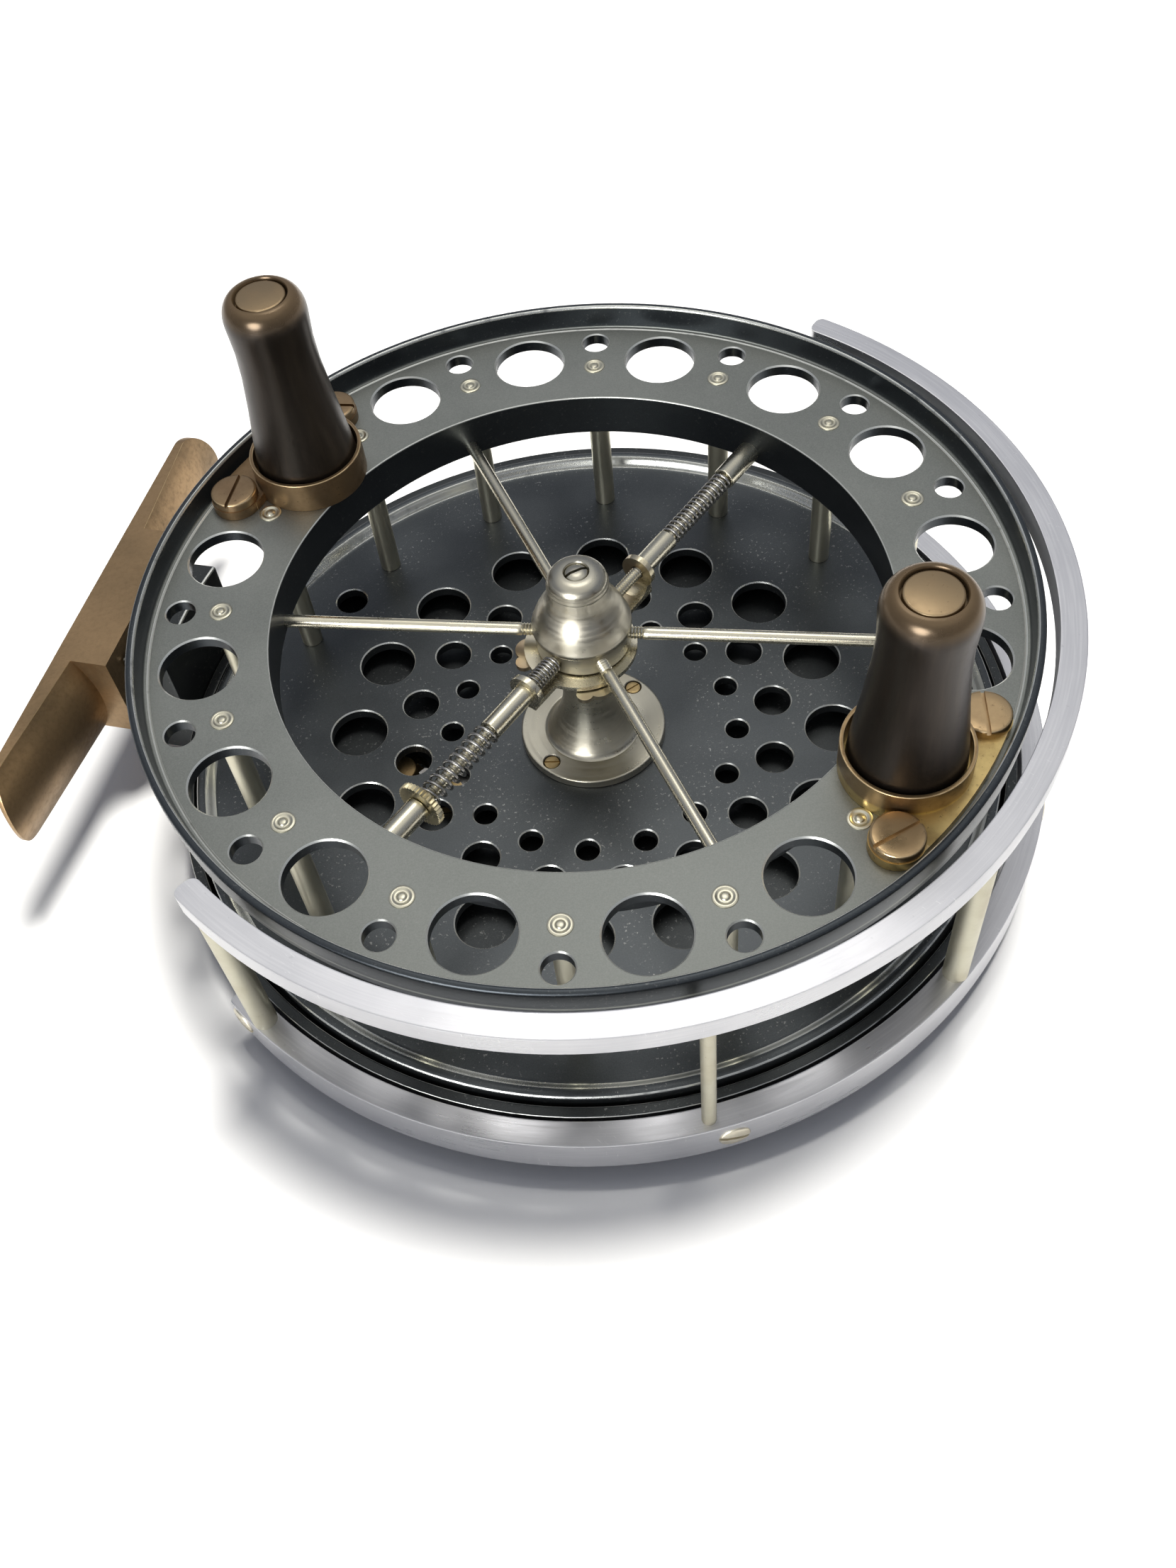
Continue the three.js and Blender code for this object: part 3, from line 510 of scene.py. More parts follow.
def cut_corners(ring, bottom, top, half_angle, corner, middle):
    """Rounds the ends of a half ring in plan, with a wide round tool at each outer corner."""
    for side in (-1, 1):
        for radius, away in ((RING_OUTER, -1), (RING_INNER, 1)):
            height = top - bottom + 2
            bpy.ops.object.select_all(action="DESELECT")
            bpy.ops.mesh.primitive_cube_add(size=1, location=(0, 0, 0))
            block = bpy.context.object
            block.scale = (2 * corner * MM, 2 * corner * MM, height * MM)
            settled(block)
            post = turned("corner_post", [(corner, -height), (corner, height)], 32)
            placed(post, x=away * corner, y=-side * corner)
            cut(block, post)
            placed(block, x=radius)
            placed(block, z=(bottom + top) / 2, turn=middle + side * half_angle)
            cut(ring, block)
    return ring


def bright_aluminium(name, roughness=0.27):
    """Satin aluminium with fine scratches that run round the ring, cross scratches and small dents."""
    look = Look(name, metallic=0.75)
    x, y, z = look.axes()
    clouds = look.noise(70, 3).rise(0.35, 0.7)
    drawn = look.noise(1.0, 3, 0.6, where=look.polar(4500, 5, 4500)).rise(0.4, 0.7)
    slanting = look.vector(x * 700 - y * 700, (x + y) * 6000, z * 700)
    across = look.noise(1.0, 2, where=slanting).rise(0.68, 0.72) * look.noise(90, 3).rise(0.45, 0.6)
    nicks = look.noise(1300, 3, 0.6).rise(0.69, 0.73)
    base = look.mix(clouds * 0.5, (0.56, 0.56, 0.58), (0.42, 0.425, 0.45))
    base = look.mix(across * 0.5 + drawn * 0.15, base, (0.9, 0.9, 0.89))
    look.feed(Base_Color=look.mix(nicks * 0.4, base, (0.4, 0.4, 0.42)))
    look.feed(Roughness=clouds * 0.06 + drawn * 0.08 + across * 0.2 + roughness)
    look.bump(drawn * 0.1 - across - nicks, 0.04, 0.015)
    return look


RING_WIDTH = 2.9
RING_INNER = 52.2
RING_OUTER = RING_INNER + RING_WIDTH
CAGE_MIDDLE = -46.2
REAR_HALF_ANGLE = 98
ring_low, ring_high = span("rear_half_ring")
aluminium_look = bright_aluminium("bright_aluminium")
rear_ring = half_ring("rear_half_ring_bar", "rear_half_ring", REAR_HALF_ANGLE, 0.6, CAGE_MIDDLE)
finished(rear_ring, aluminium_look, "frame", ["rear_half_ring"])

# its slotted screws, let into the outer wall beside each pillar
RING_SCREW = 1.75
screw_z = (ring_low.z + ring_high.z) / 2
ring_screw = placed(slotted_screw("ring_screw", RING_SCREW, 0.5, 0.5, 0.15), turn=75)
placed(ring_screw, tilt=90)
for number, angle in enumerate((-142.5, -80.3, -20, 43.4), 1):
    screw = placed(twin(ring_screw, f"ring_screw_{number}"), x=RING_OUTER - 0.35, z=screw_z, turn=angle)
    finished(screw, nickel_dull, "frame")
bpy.data.objects.remove(ring_screw)

# ---- Cage pillars ----
# Three thick pillars and a thin one of nickel silver rod, dull from handling, that carry the guard
# ring over the rear half ring. Each is let into a hole in the rear ring.
pillar_look = nickel("nickel_pillar", dull=0.35, roughness=0.42, color=(0.5, 0.48, 0.38), turning=0.3)
for node in ("guard_pillar_1", "guard_pillar_2", "guard_pillar_3", "guard_pillar_thin"):
    low, high = span(node)
    radius = 0.8 if node.endswith("thin") else 1.4
    centre = (low + high) / 2
    column = turned(node + "_rod", soft([(radius, low.z - 0.3), (radius, high.z, 0.1)]), 32)
    finished(placed(column, x=centre.x, y=centre.y), pillar_look, "frame", [node])

# ---- Guard ring ----
# The upper half of the cage, the same bar as the rear half ring, with rounded ends. It stands free of
# the drum's lip and takes the scratches when the reel is laid down.
GUARD_HALF_ANGLE = 96.3
guard = half_ring("front_guard_ring_bar", "front_guard_ring", GUARD_HALF_ANGLE, 1.1, CAGE_MIDDLE)
finished(guard, aluminium_look, "frame", ["front_guard_ring"])

# ---- Foot and its stand ----
# A cast bronze saddle that lies along the rod, hollow on its outer face, with two arms that thin to
# rounded tips and a thick middle block. The stand under the block is anodised aluminium.
foot_low, foot_high = span("foot")
stand_low, stand_high = span("foot_stand")
FOOT_TURN = 161.1
FOOT_LENGTH = 64.4
FOOT_WIDTH = foot_high.z - foot_low.z
FOOT_MIDDLE = (foot_high.z + foot_low.z) / 2
FOOT_SEAT = 64.1
FOOT_EDGE = 2.2
FOOT_TIP = 0.6
ROD_SEAT = 11.5
BELLY = 12.1
BLOCK_LENGTH = 22.8
BLOCK_DEPTH = 7


def box(name, low, high):
    bpy.ops.object.select_all(action="DESELECT")
    centre = [(a + b) / 2 * MM for a, b in zip(low, high)]
    bpy.ops.mesh.primitive_cube_add(size=1, location=centre)
    piece = bpy.context.object
    piece.name = name
    piece.scale = [(b - a) * MM for a, b in zip(low, high)]
    bpy.ops.object.transform_apply()
    return piece


def lying_bar(name, radius, near, far, sides=160):
    """A long round bar from the point near to the point far, both (x, y) at the foot's middle height."""
    start, end = Vector((near[0], near[1], 0)), Vector((far[0], far[1], 0))
    along = (end - start).normalized()
    length = (end - start).length
    bar = turned(name, [(radius, -length), (radius, 2 * length)], sides)
    lay = along.to_track_quat("Z", "X").to_matrix().to_4x4()
    bar.matrix_world = Matrix.Translation((start + Vector((0, 0, FOOT_MIDDLE))) * MM) @ lay
    return settled(bar)


def foot_arm(side):
    """Half of the saddle: a slab with a rounded tip, kept where it lies inside the belly's curve."""
    half = FOOT_WIDTH / 2
    tip = FOOT_WIDTH * 0.38
    straight = FOOT_LENGTH / 2 - tip
    slab = turned("foot_arm", [(half, 0), (half, FOOT_SEAT)], 96)
    slab.scale = (1, tip / half, 1)
    settled(slab)
    select(slab, lambda v: v.co.y < 0)
    bpy.ops.transform.resize(value=(1, 0, 1), center_override=(0, 0, 0))
    bpy.ops.transform.translate(value=(0, -straight * MM, 0))
    leave()
    outwards = Matrix.Scale(side, 4, (0, 1, 0)) @ Matrix.Rotation(pi / 2, 4, "Y")
    raised = Matrix.Translation((0, 0, FOOT_MIDDLE * MM))
    slab.matrix_world = raised @ outwards @ Matrix.Translation((0, straight * MM, 0))
    settled(slab)
    select(slab, lambda v: True)
    bpy.ops.mesh.remove_doubles(threshold=WELD)
    bpy.ops.mesh.normals_make_consistent(inside=False)
    leave()
    near_x = FOOT_SEAT - FOOT_EDGE - BELLY + sqrt(BELLY ** 2 - half ** 2) + BELLY
    far_x = near_x + FOOT_EDGE - FOOT_TIP
    belly = lying_bar("belly", BELLY, (near_x, side * BLOCK_LENGTH / 2), (far_x, side * FOOT_LENGTH / 2))
    return cut(slab, belly, "INTERSECT")


foot_block = box("foot_saddle", (FOOT_SEAT - BLOCK_DEPTH, -BLOCK_LENGTH / 2, FOOT_MIDDLE - FOOT_WIDTH / 2),
                 (FOOT_SEAT, BLOCK_LENGTH / 2, FOOT_MIDDLE + FOOT_WIDTH / 2))
for side in (1, -1):
    cut(foot_block, foot_arm(side), "UNION")
seat_axis = FOOT_SEAT + sqrt(ROD_SEAT ** 2 - (FOOT_WIDTH / 2) ** 2)
cut(foot_block, lying_bar("rod_seat", ROD_SEAT, (seat_axis, -FOOT_LENGTH), (seat_axis, 0)))
eased(foot_block, 0.22, 2, 30)

foot_look = Look("foot_bronze", metallic=0.9)
foot_clouds = foot_look.noise(55, 5, 0.6).rise(0.35, 0.68)
foot_grain = foot_look.noise(1500, 4, 0.65).rise(0.4, 0.7)
foot_x, foot_y, foot_z = foot_look.axes()
foot_lengthwise = foot_look.vector(foot_x * 2200, foot_y * 160, foot_z * 2200)
foot_drawn = foot_look.noise(1.0, 3, where=foot_lengthwise).rise(0.45, 0.7)
foot_edge = foot_look.worn() * foot_look.noise(300, 3).rise(0.25, 0.5)
foot_base = foot_look.mix(foot_clouds, (0.4, 0.265, 0.14), (0.24, 0.165, 0.09))
foot_base = foot_look.mix(foot_grain * 0.25, foot_base, (0.13, 0.09, 0.05))
foot_look.feed(Base_Color=foot_look.mix(foot_edge * 0.7, foot_base, (0.66, 0.48, 0.26)))
foot_look.feed(Roughness=foot_clouds * 0.14 + foot_grain * 0.1 + 0.3)
foot_look.bump(foot_grain + foot_drawn * 0.6, 0.15, 0.03)
placed(foot_block, turn=FOOT_TURN)
mark_edges(foot_block, 0.2)
finished(foot_block, foot_look, "frame", ["foot"], smooth=35)

stand = box("foot_stand_block", (FOOT_SEAT - BLOCK_DEPTH - 10.3, -8.5, stand_low.z),
            (FOOT_SEAT - BLOCK_DEPTH - 0.1, 8.5, stand_high.z))
cut(stand, turned("drum_room", [(PLATE_RADIUS + 0.15, 0), (PLATE_RADIUS + 0.15, 40)], 256))
eased(stand, 0.3, 2)
placed(stand, turn=FOOT_TURN)
mark_edges(stand, 0.2)
finished(stand, plate_look, "frame", ["foot_stand"])

# ---- Check: button, pawl, pin and leaf spring ----
# The brass button behind the plate pushes the steel pawl into the drum's ratchet wheel. The pawl
# turns on a brass pin, and a strip of spring brass bears on its back.
def brass(name, color=(0.42, 0.31, 0.15), stain=(0.16, 0.1, 0.05), roughness=0.32, dirt=0.6, above=None):
    """Old brass: warm metal under a patchy brown tarnish with dark specks."""
    look = Look(name, metallic=0.95)
    clouds = look.noise(230, 5, 0.62).rise(0.38, 0.68)
    specks = look.noise(1500, 4, 0.7).rise(0.6, 0.7)
    edge = look.worn() * look.noise(500, 2).rise(0.25, 0.5)
    base = look.mix(clouds * dirt, color, stain)
    base = look.mix(specks * dirt * 0.8, base, (AXIS, 0.035, 0.02))
    if above:
        height = look.axes()[2] * (1 / MM)
        base = look.mix(height.rise(above[0], above[0] + 0.4), base, look.mix(clouds, above[1], above[2]))
    look.feed(Base_Color=look.mix(edge * 0.75, base, (0.68, 0.52, 0.3)))
    look.feed(Roughness=clouds * 0.16 + specks * 0.2 + roughness)
    look.bump(specks * -1 + clouds * 0.3, 0.15, 0.03)
    return look


brass_look = brass("old_brass")
button = turned("check_button_knob", soft([
    (AXIS, button_low.z), (2.2, button_low.z, 0.15), (2.4, button_low.z + 0.15), (3, button_low.z + 0.5, 0.2),
    (3, 2.9, 0.15), (BUTTON_STEM, 2.9), (BUTTON_STEM, button_high.z, 0.2), (AXIS, button_high.z),
]), 64)
mark_worn(button, lambda c, n: n.z < -0.3 and abs(n.z) < 0.95)
finished(placed(button, x=button_x), brass_look, "check_switch", ["check_button"])
repainted("check_pawl", steel_look)
repainted("pawl_pin", brass_look)
repainted("check_spring", brass_look)

# ---- Drum: rear flange ----
# The disc behind the line, turned from aluminium and anodised grey, with three rings of round holes.
# Its raised rim is rounded, and its face is speckled and scratched where line and grit have rubbed.
STATIONS = 16
pin_low, pin_high = span("handle_pin_1")
HANDLE_TURN = degrees(atan2(pin_low.y + pin_high.y, pin_low.x + pin_high.x))
REAR_RADIUS = 50
REAR_FACE = 8.4
REAR_MIDDLE = 7
RIM_HEIGHT = 1.2
REAR_HOLES = ((29.95, 3.57, 0.5), (22.9, 2.3, 0), (17.96, 1.46, 0.5))
ACCESS_HOLE = (40.9, 2.1)
rear_under = span("drum_rear_flange")[0].z
rear_look = anodised("rear_anodised", (0.06, 0.066, 0.07), (0.1, 0.108, 0.112), 0.34, 0.8)
rear_rim = REAR_FACE + RIM_HEIGHT
rear_flange = turned("drum_rear_flange_disc", soft([
    (REAR_MIDDLE, rear_under), (REAR_RADIUS, rear_under, 0.4), (REAR_RADIUS, rear_rim, 0.5),
    (REAR_RADIUS - 1.3, rear_rim, 0.5), (REAR_RADIUS - 2, REAR_FACE, 0.5), (REAR_MIDDLE, REAR_FACE),
]), sides=160, tube=True)
tools = []
for ring, radius, offset in REAR_HOLES:
    drill = placed(hole_tool(radius, rear_under, REAR_FACE, 40, 0.15), x=ring)
    tools.append(ring_of(drill, [(k + offset) * 360 / STATIONS for k in range(STATIONS)]))
access = placed(hole_tool(ACCESS_HOLE[1], rear_under, REAR_FACE, 40, 0.15), x=ACCESS_HOLE[0])
tools.append(ring_of(access, (0, 180)))
cut(rear_flange, joined(tools))
mark_worn(rear_flange, lambda c, n: 0.2 < abs(n.z) < 0.95)
placed(rear_flange, turn=HANDLE_TURN)
finished(rear_flange, rear_look, "drum", ["drum_rear_flange"])
repainted("ratchet_wheel", steel_look)

# ---- Drum: boss ----
# A nickel silver casting turned to a trumpet, on a round flange that is screwed to the rear flange.
# The two brass bushes pressed into it run on the spindle.
trumpet_low, trumpet_high = span("drum_boss")
BOSS_RADIUS = 9
BOSS_FLANGE = 1.3
NECK = 3.1
BUSH = 2.55
BOSS_SCREW_RING = 7.6
BOSS_SCREW_ANGLES = (84, 264)
flange_top = trumpet_low.z + BOSS_FLANGE
nickel_bright = nickel("nickel_bright", dull=0.3, roughness=0.27, color=(0.5, 0.475, 0.39), turning=2.0)
trumpet_curve = []
CURVE_STEPS = 14
for step in range(CURVE_STEPS + 1):
    t = step / CURVE_STEPS
    trumpet_curve.append((NECK + 2.5 * (1 - t) ** 2.4, flange_top + 9 * t))
drum_boss = turned("drum_boss_trumpet", soft([
    (BUSH + 0.05, trumpet_low.z), (BOSS_RADIUS, trumpet_low.z, 0.15), (BOSS_RADIUS, flange_top, 0.25),
]) + [(6.1, flange_top), (5.9, flange_top - 0.12)] + trumpet_curve + [
    (NECK, trumpet_high.z - 0.2), (NECK - 0.2, trumpet_high.z), (BUSH + 0.05, trumpet_high.z),
], sides=96, tube=True)
sink = placed(hole_tool(1.05, flange_top - 0.6, flange_top, 32, 0.12), x=BOSS_SCREW_RING)
cut(drum_boss, ring_of(sink, BOSS_SCREW_ANGLES))
placed(drum_boss, turn=HANDLE_TURN)
finished(drum_boss, nickel_bright, "drum", ["drum_boss"])
for number, angle in enumerate(BOSS_SCREW_ANGLES, 1):
    screw = slotted_screw(f"boss_screw_{number}", 0.95, 0.35, 0.28)
    placed(screw, z=flange_top - 0.5, turn=35 * number)
    on_ring(screw, BOSS_SCREW_RING, angle)
    finished(placed(screw, turn=HANDLE_TURN), brass_look, "drum")
repainted("bearing_bush_lower", brass_look)
repainted("bearing_bush_upper", brass_look)

# ---- Drum: pillars ----
# Sixteen nickel silver pillars hold the flanges apart, and the line is wound on them. Each ends in a
# thinner tail that is riveted over in the front flange and shows there as a pale ring with a dimple.
PILLAR_RING = 41.6
PILLAR_RADIUS = 1.35
TAIL_RADIUS = 0.9
flange_low, flange_high = span("drum_front_flange")
FACE = 31.5
FLANGE = 1.6
face_under = FACE - FLANGE
rivet_look = nickel("nickel_rivet", dull=0.1, roughness=0.32, color=(0.64, 0.61, 0.48), turning=0.0)
rivet = turned("rivet", soft([
    (AXIS, FACE - 0.3), (PILLAR_RADIUS, FACE - 0.3), (PILLAR_RADIUS, FACE + 0.12, 0.12),
    (1.02, FACE + 0.16, 0.08), (0.8, FACE + 0.02, 0.08), (0.52, FACE + 0.02, 0.06), (0.4, FACE + 0.2, 0.1),
    (AXIS, FACE + 0.22),
], 2), 28)
column = turned("column", soft([
    (PILLAR_RADIUS, REAR_FACE + 0.02, 0.05), (PILLAR_RADIUS, face_under - 0.02, 0.05),
]), 28)
tail_low, tail_high = rear_under - 0.15, rear_under + 0.2
tail = turned("tail", soft([
    (AXIS, tail_low), (TAIL_RADIUS, tail_low, 0.1), (TAIL_RADIUS, tail_high), (AXIS, tail_high),
]), 20)
for number in range(1, STATIONS + 1):
    turn = HANDLE_TURN + (number - 0.5) * 360 / STATIONS
    pillar = joined([twin(part, f"drum_pillar_turned_{number:02d}") for part in (column, rivet, tail)])
    placed(pillar, x=PILLAR_RING)
    finished(placed(pillar, turn=turn), rivet_look, "drum", [f"drum_pillar_{number:02d}"])
for part in (column, rivet, tail):
    bpy.data.objects.remove(part)

# ---- Drum: front flange ----
# The open ring that the angler sees, turned from aluminium with a rolled lip outside and a deep collar
# inside, drilled with large and small holes. Satin grey anodising, rubbed bright on its edges. Its top
# face is painted lighter than its lip and collar, as painted light from above, and the bright line on
# the lip's inner top edge is partly wear and partly a painted highlight.
COLLAR_RADIUS = 35.5
COLLAR_WALL = 1.7
collar_outer = COLLAR_RADIUS + COLLAR_WALL
collar_bottom = flange_low.z
lip_top = flange_high.z
DRUM_RADIUS = 50.8
LIP_FOOT = 49.55
LARGE_HOLE = (43.4, 4.45)
SMALL_HOLE = (46.35, 1.72)
EAR_STATIONS = (0, 7, 8, 15)
# the top face is painted a lighter grey than the lip and collar: painted light from above
front_look = anodised("front_anodised", (0.04, 0.046, 0.052), (0.06, 0.067, 0.072), 0.3, 0.2,
                      face=(FACE, (0.18, 0.19, 0.176), (0.26, 0.27, 0.25)))
front_flange = turned("drum_front_flange_ring", soft([
    (COLLAR_RADIUS, FACE, 0.2), (COLLAR_RADIUS, collar_bottom, 0.3), (collar_outer, collar_bottom, 0.3),
    (collar_outer, face_under, 0.4), (DRUM_RADIUS - 0.2, face_under, 0.5), (DRUM_RADIUS, FACE + 0.6, 0.6),
    (DRUM_RADIUS, lip_top, 1.1), (LIP_FOOT + 0.35, lip_top, 0.35), (LIP_FOOT, FACE, 0.2),
    (LIP_FOOT - 0.35, FACE, 0.1), (LIP_FOOT - 0.45, FACE - 0.12, 0.06), (LIP_FOOT - 0.6, FACE, 0.1),
], 4), sides=192, tube=True)
large = placed(hole_tool(LARGE_HOLE[1], face_under, FACE, 56), x=LARGE_HOLE[0])
large = ring_of(large, [k * 360 / STATIONS for k in range(STATIONS) if k % (STATIONS // 2)])
small = placed(hole_tool(SMALL_HOLE[1], face_under, FACE, 36, 0.15), x=SMALL_HOLE[0])
small = ring_of(small, [(k + 0.5) * 360 / STATIONS for k in range(STATIONS) if k not in EAR_STATIONS])
cut(front_flange, joined([large, small]))


def front_wear_and_highlight(centre, normal):
    radius = sqrt(centre.x ** 2 + centre.y ** 2)
    sloped = 0.15 < abs(normal.z) < 0.97
    on_face = FACE - 0.3 < centre.z <= FACE
    # the lip's inner top edge is painted bright: partly wear, partly a painted highlight
    lip_edge_wear_and_highlight = centre.z > lip_top - 0.4 and radius < LIP_FOOT + 0.75
    return sloped and (on_face or lip_edge_wear_and_highlight)


mark_worn(front_flange, front_wear_and_highlight)
placed(front_flange, turn=HANDLE_TURN)
finished(front_flange, front_look, "drum", ["drum_front_flange"])

# ---- Drum: hub, cap and centre screw ----
# The nickel silver hub that the six spokes screw into: a skirt, a turned cone with fine rings left by
# the tool, and a domed cap held by a slotted screw.
hub_low, hub_high = span("hub")
cap_low, cap_high = span("hub_cap")
HUB_RADIUS = 5.5
CONE_RADIUS = 5.8
CONE_RIM = FACE - 2.6
DOME_RADIUS = 3.45
RECESS = 1.5
cone = soft([
    (CONE_RADIUS, CONE_RIM), (CONE_RADIUS - 0.05, CONE_RIM + 0.25, 0.3),
    (CONE_RADIUS - 0.75, FACE - 0.5, 2.0), (3.75, FACE + 1.5, 2.0), (3.3, hub_high.z),
], 6)[1:]
hub = turned("hub_cone", soft([
    (2.2, hub_low.z), (HUB_RADIUS, hub_low.z, 0.25), (HUB_RADIUS, CONE_RIM - 0.5, 0.15),
    (CONE_RADIUS, CONE_RIM - 0.3, 0.1),
]) + cone + [(2.2, hub_high.z)], sides=96, tube=True)
finished(placed(hub, turn=HANDLE_TURN), nickel_bright, "drum", ["hub"])
bead = cap_low.z + 0.5
bead_radius = DOME_RADIUS + 0.08
dome = [(DOME_RADIUS - 0.1, cap_low.z), (bead_radius, cap_low.z + 0.1), (bead_radius, bead - 0.15)]
for step in range(CURVE_STEPS + 1):
    t = step / CURVE_STEPS * pi / 2
    dome.append((RECESS + (DOME_RADIUS - RECESS) * cos(t) ** 0.85, bead + (cap_high.z - bead) * sin(t)))
dome_top = cap_high.z
hub_cap = turned("hub_cap_dome", dome + [(1.36, dome_top - 0.2), (1.36, cap_low.z)], sides=80, tube=True)
finished(placed(hub_cap, turn=HANDLE_TURN), nickel_bright, "drum", ["hub_cap"])
cap_screw = slotted_screw("cap_screw_slotted", 1.3, 2.6, 0.36, 0.25)
placed(cap_screw, z=dome_top - 2.75, turn=HANDLE_TURN + 62)
finished(cap_screw, nickel_bright, "drum", ["cap_screw"])

# ---- Drum: four plain spokes ----
# Nickel silver rods, polished by the fingers, riveted into the collar and threaded where they screw
# into the hub, so that they can be trued like the spokes of a wheel.
spoke_low, spoke_high = span("spoke_1")
SPOKE_Z = (spoke_low.z + spoke_high.z) / 2
SPOKE_RADIUS = 0.75
SPOKE_INNER = HUB_RADIUS - 0.3
SPOKE_OUTER = COLLAR_RADIUS + 0.3
THREAD_PITCH = 0.36
THREAD_DEPTH = 0.12


def thread(radius, start, end):
    """The crests and roots of a thread, as points along a rod."""
    count = int((end - start) / THREAD_PITCH)
    points = []
    for turn in range(count):
        at = start + turn * THREAD_PITCH
        points += [(radius - THREAD_DEPTH, at), (radius, at + THREAD_PITCH / 2)]
    return points


def spoke_rod(name, outline, turn, sides=32, tube=False):
    """Turns an outline, lays it along X at the spokes' height and turns it to its place in the drum."""
    rod = turned(name, outline, sides, tube)
    placed(rod, z=SPOKE_Z, tilt=90)
    return placed(rod, turn=HANDLE_TURN + turn)


spoke_look = nickel("nickel_spoke", dull=0.1, roughness=0.24, color=(0.66, 0.62, 0.49), turning=0.0)
THREADED = 2.4
plain = thread(SPOKE_RADIUS, SPOKE_INNER, SPOKE_INNER + THREADED)
plain += [(SPOKE_RADIUS, SPOKE_INNER + THREADED + 0.1), (SPOKE_RADIUS, SPOKE_OUTER)]
for number, angle in enumerate((30, 150, 210, 330), 1):
    spoke = spoke_rod(f"spoke_rod_{number}", plain, angle)
    finished(spoke, spoke_look, "drum", [f"spoke_{number}"], smooth=50)

# ---- Drum: tension spoke ----
# The spoke that presses the drag plate on the spindle. A knurled nut on its thread sets an open coil,
# which pushes a sleeve and the drag plate's lug towards the hub against a small tight coil.
TENSION_TURN = 90
ROD_HEAD = 1.4
HEAD_INNER = 29.6
NUT_RADIUS = 2.85
NUT_THICKNESS = 0.8
NUT_INNER = HEAD_INNER - 0.05 - NUT_THICKNESS
SLEEVE_RADIUS = 1.27
SLEEVE_END = 17.4
TENSION_LUG = 10.25
LUG_THICKNESS = 0.75
EYE_RADIUS = 2.1
ROD_BORE = 0.85
SHEET = 0.6
inner_thread = thread(SPOKE_RADIUS, SPOKE_INNER, HEAD_INNER - 0.3)
headed = inner_thread + [(SPOKE_RADIUS, HEAD_INNER - 0.1), (SPOKE_RADIUS, HEAD_INNER)] + soft([
    (ROD_HEAD, HEAD_INNER, 0.15), (ROD_HEAD, SPOKE_OUTER), (AXIS, SPOKE_OUTER), (AXIS, HEAD_INNER),
])[:-2]
tension_rod = spoke_rod("tension_rod_threaded", headed, TENSION_TURN, 24)
finished(tension_rod, spoke_look, "drum", ["tension_rod"], smooth=50)


def coil_spring(name, radius, wire, start, end, turns, turn, node, joint=None):
    """A round wire screwed along a spoke. Where a joint is named, it gets a mesh of its own."""
    bpy.ops.object.select_all(action="DESELECT")
    bpy.ops.mesh.primitive_circle_add(vertices=10, radius=wire / 2 * MM, rotation=(pi / 2, 0, 0))
    spring = bpy.context.object
    spring.name = name
    placed(spring, x=radius - wire / 2, z=start + wire / 2)
    pitch = (end - start - wire) / turns
    applied(spring, "SCREW", angle=2 * pi, screw_offset=pitch * MM, iterations=turns, axis="Z",
            steps=22, render_steps=22, use_merge_vertices=True, merge_threshold=WELD)
    select(spring, lambda v: True)
    bpy.ops.mesh.fill_holes(sides=0)
    leave()
    placed(spring, z=SPOKE_Z, tilt=90)
    placed(spring, turn=HANDLE_TURN + turn)
    finished(spring, spring_look, "drum", [node], smooth=80)
    if joint:
        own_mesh(spring)
    return spring


spring_look = steel("spring_steel", (0.4, 0.39, 0.37), 0.2)
coil_spring("tension_coil", 1.45, 0.36, SLEEVE_END, NUT_INNER, 10, TENSION_TURN, "tension_spring",
            "tension_nut_travel")
coil_spring("drag_return_coil", 1.15, 0.3, HUB_RADIUS + 0.15, TENSION_LUG, 9, TENSION_TURN,
            "drag_return_spring", "drag_slide")

# its knurled nut, alternate corners of a many-sided ring drawn in
KNURLS = 36
KNURL_DEPTH = 0.93
nut = turned("tension_nut_knurled", soft([
    (0.8, 0), (NUT_RADIUS, 0, 0.1), (NUT_RADIUS, NUT_THICKNESS, 0.1), (0.8, NUT_THICKNESS),
], 2), 2 * KNURLS, tube=True)
knurl_step = 360 / (2 * KNURLS)


def is_root(vertex):
    index = round(degrees(atan2(vertex.co.y, vertex.co.x)) / knurl_step)
    return index % 2 == 0 and vertex.co.xy.length > 0.9 * NUT_RADIUS * MM


select(nut, is_root)
bpy.ops.transform.resize(value=(KNURL_DEPTH, KNURL_DEPTH, 1), center_override=(0, 0, 0))
leave()
placed(nut, z=NUT_INNER)
placed(nut, z=SPOKE_Z, tilt=90)
placed(nut, turn=HANDLE_TURN + TENSION_TURN)
nut_look = brass("nut_brass", (0.62, 0.55, 0.36), (0.34, 0.27, 0.15), 0.26, 0.35)
finished(nut, nut_look, "spring_nut", ["tension_nut"], smooth=20)


def sleeve(name, inner, turn, body, node):
    piece = spoke_rod(name, soft([
        (ROD_BORE, inner), (SLEEVE_RADIUS, inner, 0.1), (SLEEVE_RADIUS, SLEEVE_END, 0.1),
        (ROD_BORE, SLEEVE_END),
    ]), turn, 32, tube=True)
    return finished(piece, spoke_look, body, [node])


sleeve("tension_sleeve_tube", TENSION_LUG + LUG_THICKNESS, TENSION_TURN, "drag", "tension_sleeve")


